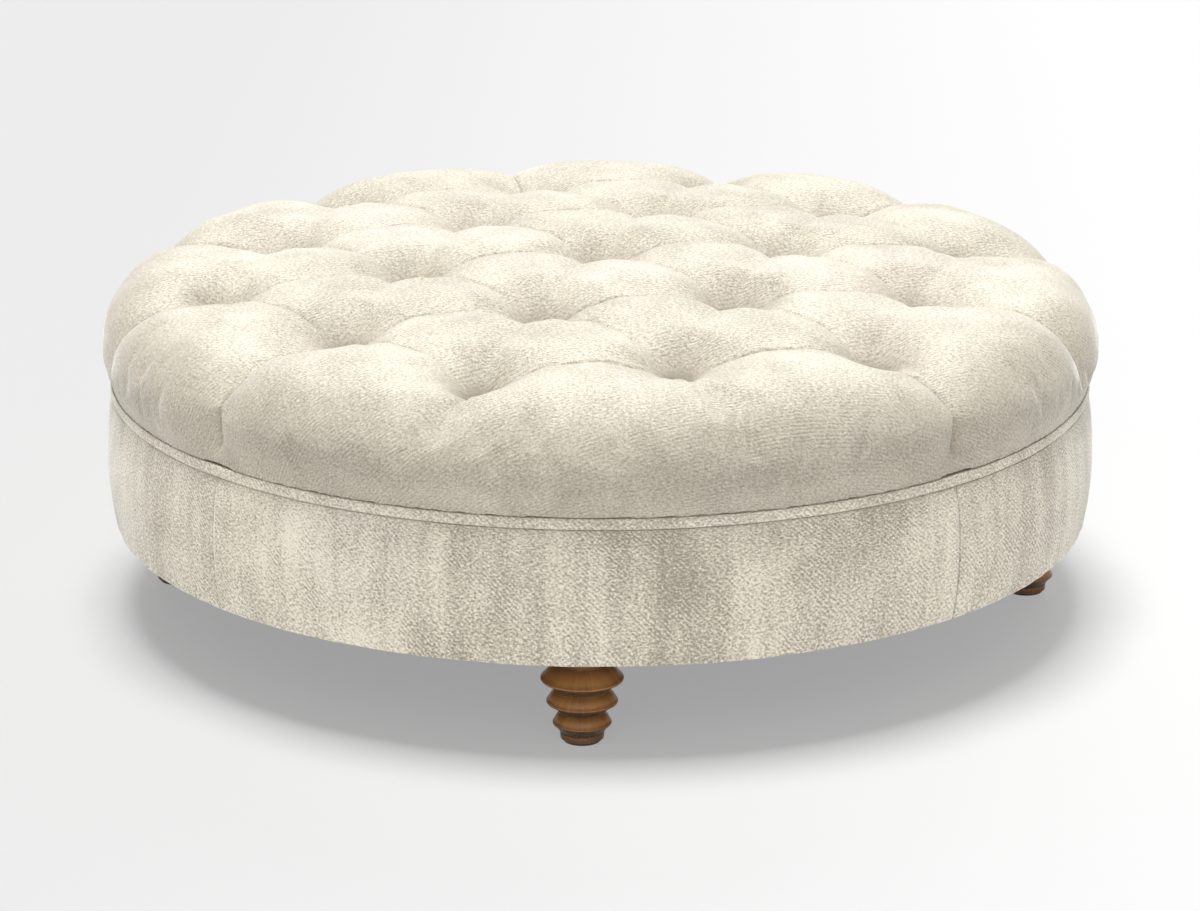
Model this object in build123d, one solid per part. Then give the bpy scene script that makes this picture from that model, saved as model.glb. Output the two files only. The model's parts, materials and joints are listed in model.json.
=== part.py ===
from build123d import *
import math
import os

# Whole table: a drum on four turned feet; the origin is on the floor under its middle
drum_radius = 550.0
board_thickness = 18.0
fabric_thickness = 1.5
running_clearance = 0.3
cut_overrun = 5.0

# Feet, named by the side that each stands on
foot_names = ("right", "back", "left", "front")
foot_inset = 50.0
foot_height = 103.0
foot_base_radius = 22.5
foot_base_top = 9.5
foot_neck_radius = 24.0
foot_neck_bottom = 85.0
ring_radii = (30.5, 37.0, 43.0)
ring_middle_heights = (20.0, 43.5, 68.5)
groove_radii = (22.0, 26.5)
groove_heights = (31.0, 55.5)
groove_half_height = 1.2
ring_edge_half_height = 2.6
ring_edge_depth = 2.2
glide_radius = 19.0
glide_height = 3.0
glide_pin_radius = 1.5
glide_pin_length = 12.0

# Hanger bolts, tee nuts and the blocks that take them
bolt_radius = 4.0
bolt_depth_in_foot = 45.0
bolt_stand_out = 6.0
nut_flange_radius = 11.0
nut_flange_thickness = 1.5
nut_wall = 1.5
nut_barrel_length = 12.0
block_width = 90.0
block_height = 22.0
block_screw_offset = 30.0

# Wood screws
screw_radius = 2.0
screw_head_radius = 4.2
screw_head_height = 2.4
screw_bite = 15.0

# Drum frame
padding_depth = 19.0
upright_count = 8
upright_width = 45.0
upright_depth = 32.0
upright_edge_distance = 3.0
upright_height = 101.0
frame_ring_width = 60.0
skin_thickness = 3.0
skin_joint_gap = 0.4
deck_overhang = 0.7
deck_screw_count = 8

# Border fabric and tack strip
barrel_radius = 337.0
border_panel_count = 4
border_seam_angle = 45.0
border_seam_gap = 0.4
border_fold_radius = 5.0
border_hem_inset = 23.0
strip_thickness = 1.5
strip_height = 5.0

# Welt band
welt_height = 10.9
welt_depth = 7.0
welt_wall = 1.2
welt_corner_radius = 2.0

# Dust cover and its staples
dust_cover_thickness = 0.8
dust_cover_overlap = 14.0
staple_count = 24
staple_crown = 10.0
staple_wire = 1.0
staple_leg = 7.0

# Seat: crown, shoulder and side
seat_step = 1.0
seat_rise = 138.5
shoulder_rise = 40.5
shoulder_radius = 72.0
side_arc_radius = 123.0
cover_hem_width = 40.0
foam_inset = 14.0
crown_flat_margin = 5.5
crown_seam_angle = 22.0

# Tufts and pleats
tuft_rows = 2
tuft_turn = 15.0
tuft_edge_distance = 123.0
tuft_depth = 38.0
pillow_radius = 65.0
tuft_rim_slope = 8.0
tuft_rim_width = 21.0
tuft_cut_height = 40.0
pleat_depth = 6.0
pleat_end_rise = 6.0
pleat_half_angle = 42.0
pleat_cut_height = 12.0
edge_pleat_depth = 5.0
edge_pleat_overlap = 6.0

# Covered buttons, and the twines that hold them
button_radius = 12.0
button_height = 6.5
button_rim = 2.0
button_seat_margin = 0.5
shank_radius = 2.0
shank_length = 6.0
twine_radius = 1.0
twine_channel_radius = 4.0
washer_radius = 12.0
washer_thickness = 2.5
knot_radius = 3.0
knot_height = 3.0

# Heights that follow from the sizes above
base_underside = foot_height
base_top = base_underside + board_thickness
block_top = base_top + block_height
upright_top = base_top + upright_height
ring_top = upright_top + board_thickness
deck_underside = ring_top + fabric_thickness
deck_top = deck_underside + board_thickness
crown_top = deck_top + seat_rise
shoulder_height = deck_top + shoulder_rise
welt_top = deck_top - running_clearance
welt_bottom = welt_top - welt_height
border_top = welt_bottom - running_clearance
border_bottom = base_underside - running_clearance - fabric_thickness
barrel_middle = (border_top + border_bottom) / 2
washer_bottom = deck_underside - washer_thickness
knot_bottom = washer_bottom - knot_height
dust_cover_top = border_bottom - running_clearance
dust_cover_bottom = dust_cover_top - dust_cover_thickness
strip_top = border_top - fabric_thickness - running_clearance
strip_bottom = strip_top - strip_height

# Radii that follow from the sizes above
frame_radius = drum_radius - padding_depth
foot_circle_radius = frame_radius - foot_inset
upright_outer = frame_radius - upright_edge_distance
upright_circle_radius = upright_outer - upright_depth / 2
frame_ring_inner = frame_radius - frame_ring_width
skin_radius = frame_radius + skin_thickness
padding_inner = skin_radius + running_clearance
deck_radius = skin_radius + deck_overhang
collar_inner = deck_radius + running_clearance
collar_outer = collar_inner + fabric_thickness
strip_inner = collar_outer + running_clearance
strip_outer = strip_inner + strip_thickness
cover_hem_inner = collar_inner - cover_hem_width
border_hem_inner = frame_radius - border_hem_inset
dust_cover_radius = border_hem_inner + dust_cover_overlap
staple_circle_radius = border_hem_inner + dust_cover_overlap / 2
barrel_centre_radius = drum_radius - barrel_radius
seat_radius = drum_radius - seat_step
shoulder_centre_radius = seat_radius - shoulder_radius
side_centre_radius = seat_radius - side_arc_radius
screw_hole_radius = screw_radius + running_clearance
head_hole_radius = screw_head_radius + running_clearance
bolt_hole_radius = bolt_radius + running_clearance
nut_barrel_radius = bolt_hole_radius + nut_wall
glide_pin_hole_radius = glide_pin_radius + running_clearance
neck_hole_radius = foot_neck_radius + running_clearance
shank_hole_radius = shank_radius + running_clearance
twine_hole_radius = twine_radius + running_clearance

# Lattice of tufts, and the shallow cone that joins the crown's flat middle to its shoulder
tuft_spacing = (seat_radius - tuft_edge_distance) / tuft_rows
tuft_flat_radius = button_radius + button_seat_margin
pillow_reach = math.sqrt(pillow_radius ** 2 - (pillow_radius - tuft_depth) ** 2)
pillow_centre = tuft_flat_radius + pillow_reach
crown_flat_radius = tuft_spacing / 2 + crown_flat_margin
cone_run = shoulder_centre_radius - crown_flat_radius
cone_drop = crown_top - shoulder_height
cone_slope = math.atan2(cone_drop, cone_run) - math.asin(shoulder_radius / math.hypot(cone_run, cone_drop))


def bar(radius, bottom, top, x=0, y=0):
    # an upright round bar between two heights
    solid = Cylinder(radius, top - bottom, align=(Align.CENTER, Align.CENTER, Align.MIN))
    return Pos(x, y, bottom) * solid


def band(inner, outer, bottom, top):
    # an upright ring with plain walls
    return bar(outer, bottom, top) - bar(inner, bottom - cut_overrun, top + cut_overrun)


def block(length, width, height):
    # a rectangular block that stands on its local origin
    return Box(length, width, height, align=(Align.CENTER, Align.CENTER, Align.MIN))


def turned(outline, angle=360.0):
    # a solid turned about the upright axis from an outline of radii and heights
    return revolve(Plane.XZ * make_face(outline), Axis.Z, revolution_arc=angle)


def arc(centre, radius, first, last):
    # an arc about a centre in the outline's plane, from one angle to another
    points = []
    for angle in (first, (first + last) / 2, last):
        turn = math.radians(angle)
        points.append((centre[0] + radius * math.cos(turn), centre[1] + radius * math.sin(turn)))
    return ThreePointArc(*points)


def round_places(count, radius, first_angle=0.0):
    # evenly spaced places on a circle: X, Y and angle of each
    places = []
    for index in range(count):
        angle = first_angle + index * 360.0 / count
        turn = math.radians(angle)
        places.append((radius * math.cos(turn), radius * math.sin(turn), angle))
    return places


def save(name, solids):
    # write one node, either a single solid or a group of separate solids
    if isinstance(solids, list):
        solids = Compound(children=[Solid(item.solid().wrapped) for item in solids])
    export_step(solids, os.path.join("parts", name + ".step"))


def screw(length):
    # a pan-head wood screw on its local Z axis, with the head's flat under face at zero
    return bar(screw_radius, 0, length) + bar(screw_head_radius, -screw_head_height, 0)


def foot_places():
    return round_places(len(foot_names), foot_circle_radius)


def upright_places():
    return round_places(upright_count, upright_circle_radius, 180.0 / upright_count)


def deck_screw_places():
    radius = (frame_ring_inner + frame_radius) / 2
    return round_places(deck_screw_count, radius, 0)


def block_screw_places():
    # two screws in each foot block, one to each side of its bolt
    places = []
    for x, y, angle in foot_places():
        turn = math.radians(angle)
        for side in (-1, 1):
            shift = side * block_screw_offset
            places.append((x - shift * math.sin(turn), y + shift * math.cos(turn)))
    return places


def ring_outline(index):
    # one lens-shaped ring of a foot: up its lower slope, round its edge and back in
    radius = ring_radii[index]
    middle = ring_middle_heights[index]
    lower = middle - ring_edge_half_height
    upper = middle + ring_edge_half_height
    shoulder = radius - ring_edge_depth
    if index == 0:
        start = (foot_base_radius, foot_base_top)
    else:
        start = (groove_radii[index - 1], groove_heights[index - 1] + groove_half_height)
    if index == len(ring_radii) - 1:
        end = (foot_neck_radius, foot_neck_bottom)
    else:
        end = (groove_radii[index], groove_heights[index] - groove_half_height)
    lines = [Line(start, (shoulder, lower))]
    lines.append(ThreePointArc((shoulder, lower), (radius, middle), (shoulder, upper)))
    lines.append(Line((shoulder, upper), end))
    return lines, start, end


def make_foot():
    lines = [Line((0, glide_height), (foot_base_radius, glide_height))]
    last = (foot_base_radius, glide_height)
    for index in range(len(ring_radii)):
        ring, start, end = ring_outline(index)
        lines.append(Line(last, start))
        lines += ring
        last = end
    lines.append(Line(last, (foot_neck_radius, foot_height)))
    lines.append(Line((foot_neck_radius, foot_height), (0, foot_height)))
    lines.append(Line((0, foot_height), (0, glide_height)))
    foot = turned(lines)
    foot -= bar(bolt_hole_radius, foot_height - bolt_depth_in_foot, foot_height + cut_overrun)
    pin_top = glide_height + glide_pin_length + running_clearance
    foot -= bar(glide_pin_hole_radius, glide_height - cut_overrun, pin_top)
    return foot


def make_glide():
    # a nail-on glide: a plain disc with its pin
    disc = bar(glide_radius, 0, glide_height)
    return disc + bar(glide_pin_radius, 0, glide_height + glide_pin_length)


def make_hanger_bolt():
    return bar(bolt_radius, foot_height - bolt_depth_in_foot, block_top + bolt_stand_out)


def make_tee_nut():
    flange = bar(nut_flange_radius, block_top, block_top + nut_flange_thickness)
    barrel = bar(nut_barrel_radius, block_top - nut_barrel_length, block_top)
    hole = bar(bolt_hole_radius, block_top - nut_barrel_length - cut_overrun, block_top + cut_overrun)
    return flange + barrel - hole


def make_foot_block():
    wood = Pos(0, 0, base_top) * block(block_width, block_width, block_height)
    wood -= bar(bolt_hole_radius, base_top - cut_overrun, block_top + cut_overrun)
    barrel_room = nut_barrel_radius + running_clearance
    wood -= bar(barrel_room, block_top - nut_barrel_length - running_clearance, block_top + cut_overrun)
    for side in (-1, 1):
        tip = base_top + screw_bite + running_clearance
        wood -= bar(screw_hole_radius, base_top - cut_overrun, tip, 0, side * block_screw_offset)
    return wood


def counterbored_hole(x, y, face, through):
    # a screw hole through a board, with room for the head at the face given
    inward = 1 if through > face else -1
    outside = face - inward * cut_overrun
    shoulder = face + inward * screw_head_height
    far = through + inward * cut_overrun
    shank = bar(screw_hole_radius, min(outside, far), max(outside, far), x, y)
    return shank + bar(head_hole_radius, min(outside, shoulder), max(outside, shoulder), x, y)


def staple_leg_places():
    # both legs of every dust cover staple, which lie along the circle
    places = []
    half = (staple_crown - staple_wire) / 2
    first = 180.0 / staple_count
    for x, y, angle in round_places(staple_count, staple_circle_radius, first):
        turn = math.radians(angle)
        for side in (-1, 1):
            shift = side * half
            places.append((x - shift * math.sin(turn), y + shift * math.cos(turn)))
    return places


def staple_holes(bottom, top):
    radius = staple_wire / math.sqrt(2) + running_clearance
    return [bar(radius, bottom, top, x, y) for x, y in staple_leg_places()]


def make_staples():
    staples = []
    first = 180.0 / staple_count
    for x, y, angle in round_places(staple_count, staple_circle_radius, first):
        staple = Pos(0, 0, -staple_wire) * block(staple_wire, staple_crown, staple_wire)
        for side in (-1, 1):
            shift = side * (staple_crown - staple_wire) / 2
            leg = block(staple_wire, staple_wire, staple_leg + staple_wire)
            staple += Pos(0, shift, -staple_wire) * leg
        staples.append(Pos(x, y, dust_cover_bottom) * Rot(0, 0, angle) * staple)
    return staples


def make_base_board():
    board = bar(frame_radius, base_underside, base_top)
    cuts = [bar(bolt_hole_radius, base_underside - cut_overrun, base_top + cut_overrun, x, y)
            for x, y, angle in foot_places()]
    for x, y, angle in upright_places():
        cuts.append(counterbored_hole(x, y, base_underside, base_top))
    for x, y in block_screw_places():
        cuts.append(counterbored_hole(x, y, base_underside, base_top))
    leg_top = dust_cover_bottom + staple_leg + running_clearance
    cuts += staple_holes(base_underside - cut_overrun, leg_top)
    return board - cuts


def make_upright():
    # one upright about its own axis, with pilot holes in both ends
    post = Pos(0, 0, base_top) * block(upright_depth, upright_width, upright_height)
    depth = screw_bite + running_clearance
    post -= bar(screw_hole_radius, base_top - cut_overrun, base_top + depth)
    post -= bar(screw_hole_radius, upright_top - depth, upright_top + cut_overrun)
    return post


def make_top_ring():
    ring = band(frame_ring_inner, frame_radius, upright_top, ring_top)
    cuts = [counterbored_hole(x, y, ring_top, upright_top) for x, y, angle in upright_places()]
    for x, y, angle in deck_screw_places():
        cuts.append(bar(screw_hole_radius, upright_top - cut_overrun, ring_top + cut_overrun, x, y))
    return ring - cuts


def make_side_skin():
    # half of the bent skin, with both ends held back from the middle plane by half the joint gap
    ring = band(frame_radius, skin_radius, base_underside, ring_top)
    side = skin_radius + cut_overrun
    keep = block(2 * side, side, ring_top + cut_overrun)
    return ring & (Pos(0, side / 2 + skin_joint_gap / 2, 0) * keep)


def barrel_edge(height, inset):
    # radius of the barrel-shaped side at a height, moved inwards by the inset
    reach = barrel_radius - inset
    return barrel_centre_radius + math.sqrt(reach ** 2 - (height - barrel_middle) ** 2)


def barrel_arc(bottom, top, inset):
    # the barrel-shaped side as one arc from the bottom height to the top height
    centre = (barrel_centre_radius, barrel_middle)
    reach = barrel_radius - inset
    first = math.degrees(math.asin((bottom - barrel_middle) / reach))
    last = math.degrees(math.asin((top - barrel_middle) / reach))
    return arc(centre, reach, first, last)


def fold_face(outline, radius):
    # a face from the outline, with its lowest outer corner rounded
    face = make_face(outline)
    corner = face.vertices().group_by(Axis.Y)[0].sort_by(Axis.X)[-1]
    return fillet(corner, radius)


def make_padding():
    inset = fabric_thickness + running_clearance
    bottom = base_underside
    top = ring_top - running_clearance
    outer_bottom = barrel_edge(bottom, inset)
    outer_top = barrel_edge(top, inset)
    outline = [
        Line((padding_inner, bottom), (outer_bottom, bottom)),
        barrel_arc(bottom, top, inset),
        Line((outer_top, top), (padding_inner, top)),
        Line((padding_inner, top), (padding_inner, bottom)),
    ]
    face = fold_face(outline, border_fold_radius - fabric_thickness)
    return revolve(Plane.XZ * face, Axis.Z)


def border_outline(inset):
    # side, turned-in top and turned-under bottom of the border, moved in by the inset
    bottom = border_bottom + inset
    top = border_top - inset
    outline = [
        Line((border_hem_inner, bottom), (barrel_edge(bottom, inset), bottom)),
        barrel_arc(bottom, top, inset),
        Line((barrel_edge(top, inset), top), (strip_inner, top)),
        Line((strip_inner, top), (border_hem_inner, bottom)),
    ]
    return fold_face(outline, border_fold_radius - inset)


def make_border_panel(index):
    # a quarter of the border, from one upright seam to the next
    face = border_outline(0) - border_outline(fabric_thickness)
    low = border_bottom + fabric_thickness
    high = border_top - fabric_thickness
    corners = [(0, low), (border_hem_inner, low), (strip_inner, high), (0, high)]
    face -= make_face(Polyline(*corners, close=True))
    gap = math.degrees(border_seam_gap / drum_radius)
    whole = 360.0 / border_panel_count
    panel = revolve(Plane.XZ * face, Axis.Z, revolution_arc=whole - gap)
    panel = Rot(0, 0, border_seam_angle + index * whole + gap / 2) * panel
    return panel - staple_holes(border_bottom - cut_overrun, border_bottom + fabric_thickness + cut_overrun)


def make_dust_cover():
    cover = bar(dust_cover_radius, dust_cover_bottom, dust_cover_top)
    low = dust_cover_bottom - cut_overrun
    high = dust_cover_top + cut_overrun
    cuts = [bar(neck_hole_radius, low, high, x, y) for x, y, angle in foot_places()]
    cuts += staple_holes(low, high)
    return cover - cuts


def make_welt_cover():
    outer = Plane.XZ * welt_section(0)
    inner = Plane.XZ * welt_section(welt_wall)
    return revolve(outer - inner, Axis.Z)


def welt_section(inset):
    # section of the welt band, a narrow rectangle with eased corners
    width = welt_depth - 2 * inset
    height = welt_height - 2 * inset
    middle = strip_inner + welt_depth / 2
    face = RectangleRounded(width, height, welt_corner_radius - inset)
    return Pos(middle, (welt_bottom + welt_top) / 2) * face


def make_welt_tape():
    return revolve(Plane.XZ * welt_section(welt_wall + running_clearance), Axis.Z)


def tuft_indices():
    # the hexagonal lattice of tufts, in two slanted steps
    steps = range(-tuft_rows, tuft_rows + 1)
    return [(i, j) for i in steps for j in steps if abs(i + j) <= tuft_rows]


def crown_slope(radius):
    return cone_slope if radius > crown_flat_radius else 0.0


def crown_point(radius, angle):
    # the point of the crown over a place, with the angle given in degrees
    turn = math.radians(angle)
    height = crown_top - max(0, radius - crown_flat_radius) * math.tan(cone_slope)
    return Vector(radius * math.cos(turn), radius * math.sin(turn), height)


def tuft_place(indices):
    # radius and angle of one tuft
    i, j = indices
    x = tuft_spacing * (i + j / 2)
    y = tuft_spacing * j * math.sqrt(3) / 2
    return math.hypot(x, y), math.degrees(math.atan2(y, x)) + tuft_turn


def tuft_plane(indices):
    # plane on the crown over a tuft: X points away from the middle, Z out of the crown
    radius, angle = tuft_place(indices)
    turn = math.radians(angle)
    slope = crown_slope(radius)
    level = Vector(math.cos(turn), math.sin(turn), 0)
    outwards = level * math.cos(slope) - Vector(0, 0, math.sin(slope))
    upwards = level * math.sin(slope) + Vector(0, 0, math.cos(slope))
    return Plane(origin=crown_point(radius, angle), x_dir=outwards, z_dir=upwards)


def button_plane(indices):
    # plane at the bottom of a tuft, where the button sits
    top = tuft_plane(indices)
    return top.offset(-tuft_depth)


def make_crown(inset, bottom):
    # the seat before tufting: crown, shoulder and drawn-in side, moved in by the inset;
    # the seam angle keeps the line where the turned surface closes away from the pleats
    top = crown_top - inset
    reach = shoulder_radius - inset
    drop = cone_drop - inset
    slope = math.atan2(drop, cone_run) - math.asin(reach / math.hypot(cone_run, drop))
    side_reach = side_arc_radius - inset
    side_angle = math.degrees(math.asin((shoulder_height - bottom) / side_reach))
    side = arc((side_centre_radius, shoulder_height), side_reach, -side_angle, 0)
    shoulder = arc((shoulder_centre_radius, shoulder_height), reach, 0, 90 - math.degrees(slope))
    low = side @ 0
    high = shoulder @ 1
    outline = [
        Line((0, bottom), (low.X, bottom)),
        side,
        shoulder,
        Line((high.X, high.Y), (crown_flat_radius, top)),
        Line((crown_flat_radius, top), (0, top)),
        Line((0, top), (0, bottom)),
    ]
    return Rot(0, 0, crown_seam_angle) * turned(outline)


def dimple_cutter(inset):
    # the hollow round one tuft: a flat seat, a swelling side and a shallow rim
    reach = pillow_radius - inset
    bottom = -tuft_depth - inset
    bottom_angle = math.degrees(math.acos((pillow_radius + bottom) / reach))
    centre = (pillow_centre, -pillow_radius)
    side = arc(centre, reach, 90 + bottom_angle, 90 + tuft_rim_slope)
    foot = side @ 0
    rim = side @ 1
    slope = math.radians(tuft_rim_slope)
    edge = (rim.X + tuft_rim_width, rim.Y + tuft_rim_width * math.tan(slope))
    outline = [
        Line((0, foot.Y), (foot.X, foot.Y)),
        side,
        Line((rim.X, rim.Y), edge),
        Line(edge, (edge[0], tuft_cut_height)),
        Line((edge[0], tuft_cut_height), (0, tuft_cut_height)),
        Line((0, tuft_cut_height), (0, foot.Y)),
    ]
    return turned(outline)


def pleat_cutter(edge_radius, first, last):
    # a V-shaped piece of ring about the local Y axis, from one angle off Z to another
    half_width = pleat_cut_height * math.tan(math.radians(pleat_half_angle))
    top = edge_radius + pleat_cut_height
    section = Polyline((0, edge_radius), (half_width, top), (-half_width, top), close=True)
    piece = revolve(Plane.YZ * make_face(section), Axis.Y, revolution_arc=last - first)
    return Rot(0, first, 0) * piece


def pleat_arch(span):
    # radius and sweep of the arch that a pleat follows between two tufts a span apart
    half = span / 2 - tuft_flat_radius
    drop = tuft_depth - pleat_end_rise - pleat_depth
    radius = (half ** 2 + drop ** 2) / (2 * drop)
    return radius, math.degrees(math.asin(half / radius))


def lattice_pleats(inset, step):
    # arched pleats between neighbouring tufts, all those that run along one step of the lattice
    indices = tuft_indices()
    cutters = []
    for i, j in indices:
        other = (i + step[0], j + step[1])
        if other not in indices:
            continue
        start = crown_point(*tuft_place((i, j)))
        end = crown_point(*tuft_place(other))
        along = (end - start).normalized()
        sideways = Vector(-along.Y, along.X, 0)
        upwards = along.cross(sideways).normalized()
        radius, sweep = pleat_arch((end - start).length)
        centre = (start + end) * 0.5 - upwards * (radius + pleat_depth)
        place = Plane(origin=centre, x_dir=along, z_dir=upwards)
        cutters.append(place.location * pleat_cutter(radius - inset, -sweep, sweep))
    return cutters


def outer_tufts():
    return [(i, j) for i, j in tuft_indices() if max(abs(i), abs(j), abs(i + j)) == tuft_rows]


def rim_pleats(inset):
    # from each outer tuft, the pleat that climbs its outer side
    radius, sweep = pleat_arch(tuft_spacing)
    shift = Pos(tuft_spacing / 2, 0, -radius - pleat_depth)
    cutter = pleat_cutter(radius - inset, -sweep, edge_pleat_overlap)
    return [tuft_plane(indices).location * shift * cutter for indices in outer_tufts()]


def edge_pleats(inset, centre_radius, radius, first, last):
    # the same pleats where they follow an arc of the shoulder or of the side
    cutter = pleat_cutter(radius - edge_pleat_depth - inset, first, last)
    shift = Pos(centre_radius, 0, shoulder_height)
    return [Rot(0, 0, tuft_place(indices)[1]) * shift * cutter for indices in outer_tufts()]


def pleat_groups(inset):
    # the pleats in groups whose members stay clear of each other
    seam = math.degrees(math.asin(shoulder_rise / (side_arc_radius - edge_pleat_depth - inset)))
    groups = [lattice_pleats(inset, step) for step in ((1, 0), (0, 1), (-1, 1))]
    groups.append(rim_pleats(inset))
    groups.append(edge_pleats(inset, shoulder_centre_radius, shoulder_radius, -edge_pleat_overlap, 90))
    groups.append(edge_pleats(inset, side_centre_radius, side_arc_radius, 90, 90 + seam))
    return groups


def tufted_form(inset, bottom, pleated=True):
    # the seat's tufted form, moved in by the inset, down to the bottom height
    cutter = dimple_cutter(inset)
    form = make_crown(inset, bottom) - [tuft_plane(indices).location * cutter for indices in tuft_indices()]
    if pleated:
        for group in pleat_groups(inset):
            form -= group
    return form


def tuft_bars(radius, bottom, top):
    # an upright bar at each tuft, where its twine runs
    bars = []
    for indices in tuft_indices():
        seat = button_plane(indices).origin
        bars.append(bar(radius, bottom, top, seat.X, seat.Y))
    return bars


def make_seat_foam():
    foam = tufted_form(foam_inset, deck_top, pleated=False)
    return foam - tuft_bars(twine_channel_radius, deck_top - cut_overrun, crown_top)


def make_seat_wadding():
    inset = fabric_thickness + running_clearance
    outer = tufted_form(inset, deck_top + inset)
    core = tufted_form(foam_inset - running_clearance, deck_top - cut_overrun, pleated=False)
    return outer - core - tuft_bars(twine_channel_radius, deck_top - cut_overrun, crown_top)


def make_seat_cover():
    # the top skin, turned under its own edge, down past the deck and under it as a hem
    skin = tufted_form(0, deck_top) + bar(collar_outer, ring_top, deck_top)
    inner = tufted_form(fabric_thickness, deck_top + fabric_thickness)
    inner += bar(collar_inner, deck_underside, deck_top + 2 * fabric_thickness)
    hem_hole = bar(cover_hem_inner, ring_top - cut_overrun, deck_underside + cut_overrun)
    holes = tuft_bars(shank_hole_radius, deck_top, crown_top)
    screws = [bar(screw_hole_radius, ring_top - cut_overrun, deck_top - cut_overrun, x, y)
              for x, y, angle in deck_screw_places()]
    return skin - [inner, hem_hole] - holes - screws


def make_deck_board():
    board = bar(deck_radius, deck_underside, deck_top)
    cuts = tuft_bars(twine_hole_radius, deck_underside - cut_overrun, deck_top + cut_overrun)
    tip = deck_underside + screw_bite + running_clearance
    for x, y, angle in deck_screw_places():
        cuts.append(bar(screw_hole_radius, deck_underside - cut_overrun, tip, x, y))
    return board - cuts


def make_buttons():
    # a domed button and its shank at the bottom of each tuft
    dome = bar(button_radius, running_clearance, running_clearance + button_rim)
    rise = button_height - button_rim
    ball = (button_radius ** 2 + rise ** 2) / (2 * rise)
    cap = Pos(0, 0, running_clearance + button_height - ball) * Sphere(ball)
    top = running_clearance + button_height + cut_overrun
    dome += cap & bar(button_radius, running_clearance + button_rim, top)
    buttons = []
    for indices in tuft_indices():
        plane = button_plane(indices)
        seat = plane.origin
        shank = bar(shank_radius, seat.Z - shank_length, seat.Z + button_rim, seat.X, seat.Y)
        buttons.append(plane.location * dome + shank)
    return buttons


def make_twines():
    # a twine from each button's shank down through the deck to its knot
    twines = []
    for indices in tuft_indices():
        seat = button_plane(indices).origin
        twine = bar(twine_radius, knot_bottom, seat.Z - shank_length, seat.X, seat.Y)
        twines.append(twine + bar(knot_radius, knot_bottom, washer_bottom, seat.X, seat.Y))
    return twines


def make_washers():
    # a round washer under the deck at each tuft, with a hole for its twine
    washer = band(twine_hole_radius, washer_radius, washer_bottom, deck_underside)
    places = [button_plane(indices).origin for indices in tuft_indices()]
    return [Pos(seat.X, seat.Y, 0) * washer for seat in places]


def make_all():
    os.makedirs("parts", exist_ok=True)
    foot = make_foot()
    glide = make_glide()
    foot_block = make_foot_block()
    bolts = []
    nuts = []
    for name, (x, y, angle) in zip(foot_names, foot_places()):
        here = Pos(x, y, 0) * Rot(0, 0, angle)
        save("foot_" + name, here * foot)
        save("glide_" + name, here * glide)
        save("foot_block_" + name, here * foot_block)
        bolts.append(here * make_hanger_bolt())
        nuts.append(here * make_tee_nut())
    save("hanger_bolts", bolts)
    save("tee_nuts", nuts)

    upwards = board_thickness - screw_head_height + screw_bite
    head = base_underside + screw_head_height
    save("block_screws", [Pos(x, y, head) * screw(upwards) for x, y in block_screw_places()])
    save("base_screws", [Pos(x, y, head) * screw(upwards) for x, y, angle in upright_places()])
    down = Rot(180, 0, 0)
    head = ring_top - screw_head_height
    save("ring_screws", [Pos(x, y, head) * down * screw(upwards) for x, y, angle in upright_places()])
    through = board_thickness + fabric_thickness + screw_bite
    save("deck_screws", [Pos(x, y, upright_top) * screw(through) for x, y, angle in deck_screw_places()])

    save("base_board", make_base_board())
    upright = make_upright()
    for index, (x, y, angle) in enumerate(upright_places()):
        save("upright_%d" % (index + 1), Pos(x, y, 0) * Rot(0, 0, angle) * upright)
    save("top_ring", make_top_ring())
    skin = make_side_skin()
    save("side_skin_back", skin)
    save("side_skin_front", Rot(0, 0, 180) * skin)
    save("side_padding", make_padding())
    for index in range(border_panel_count):
        save("border_panel_%d" % (index + 1), make_border_panel(index))
    save("tack_strip", band(strip_inner, strip_outer, strip_bottom, strip_top))
    save("welt_tape", make_welt_tape())
    save("welt_cover", make_welt_cover())
    save("dust_cover", make_dust_cover())
    save("dust_cover_staples", make_staples())

    save("deck_board", make_deck_board())
    save("seat_foam", make_seat_foam())
    save("seat_wadding", make_seat_wadding())
    save("seat_cover", make_seat_cover())
    save("tuft_buttons", make_buttons())
    save("tuft_twines", make_twines())
    save("twine_washers", make_washers())


make_all()
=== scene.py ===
import json
import math

import bmesh
import bpy
import numpy as np
from mathutils import Matrix, Vector, noise


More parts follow.
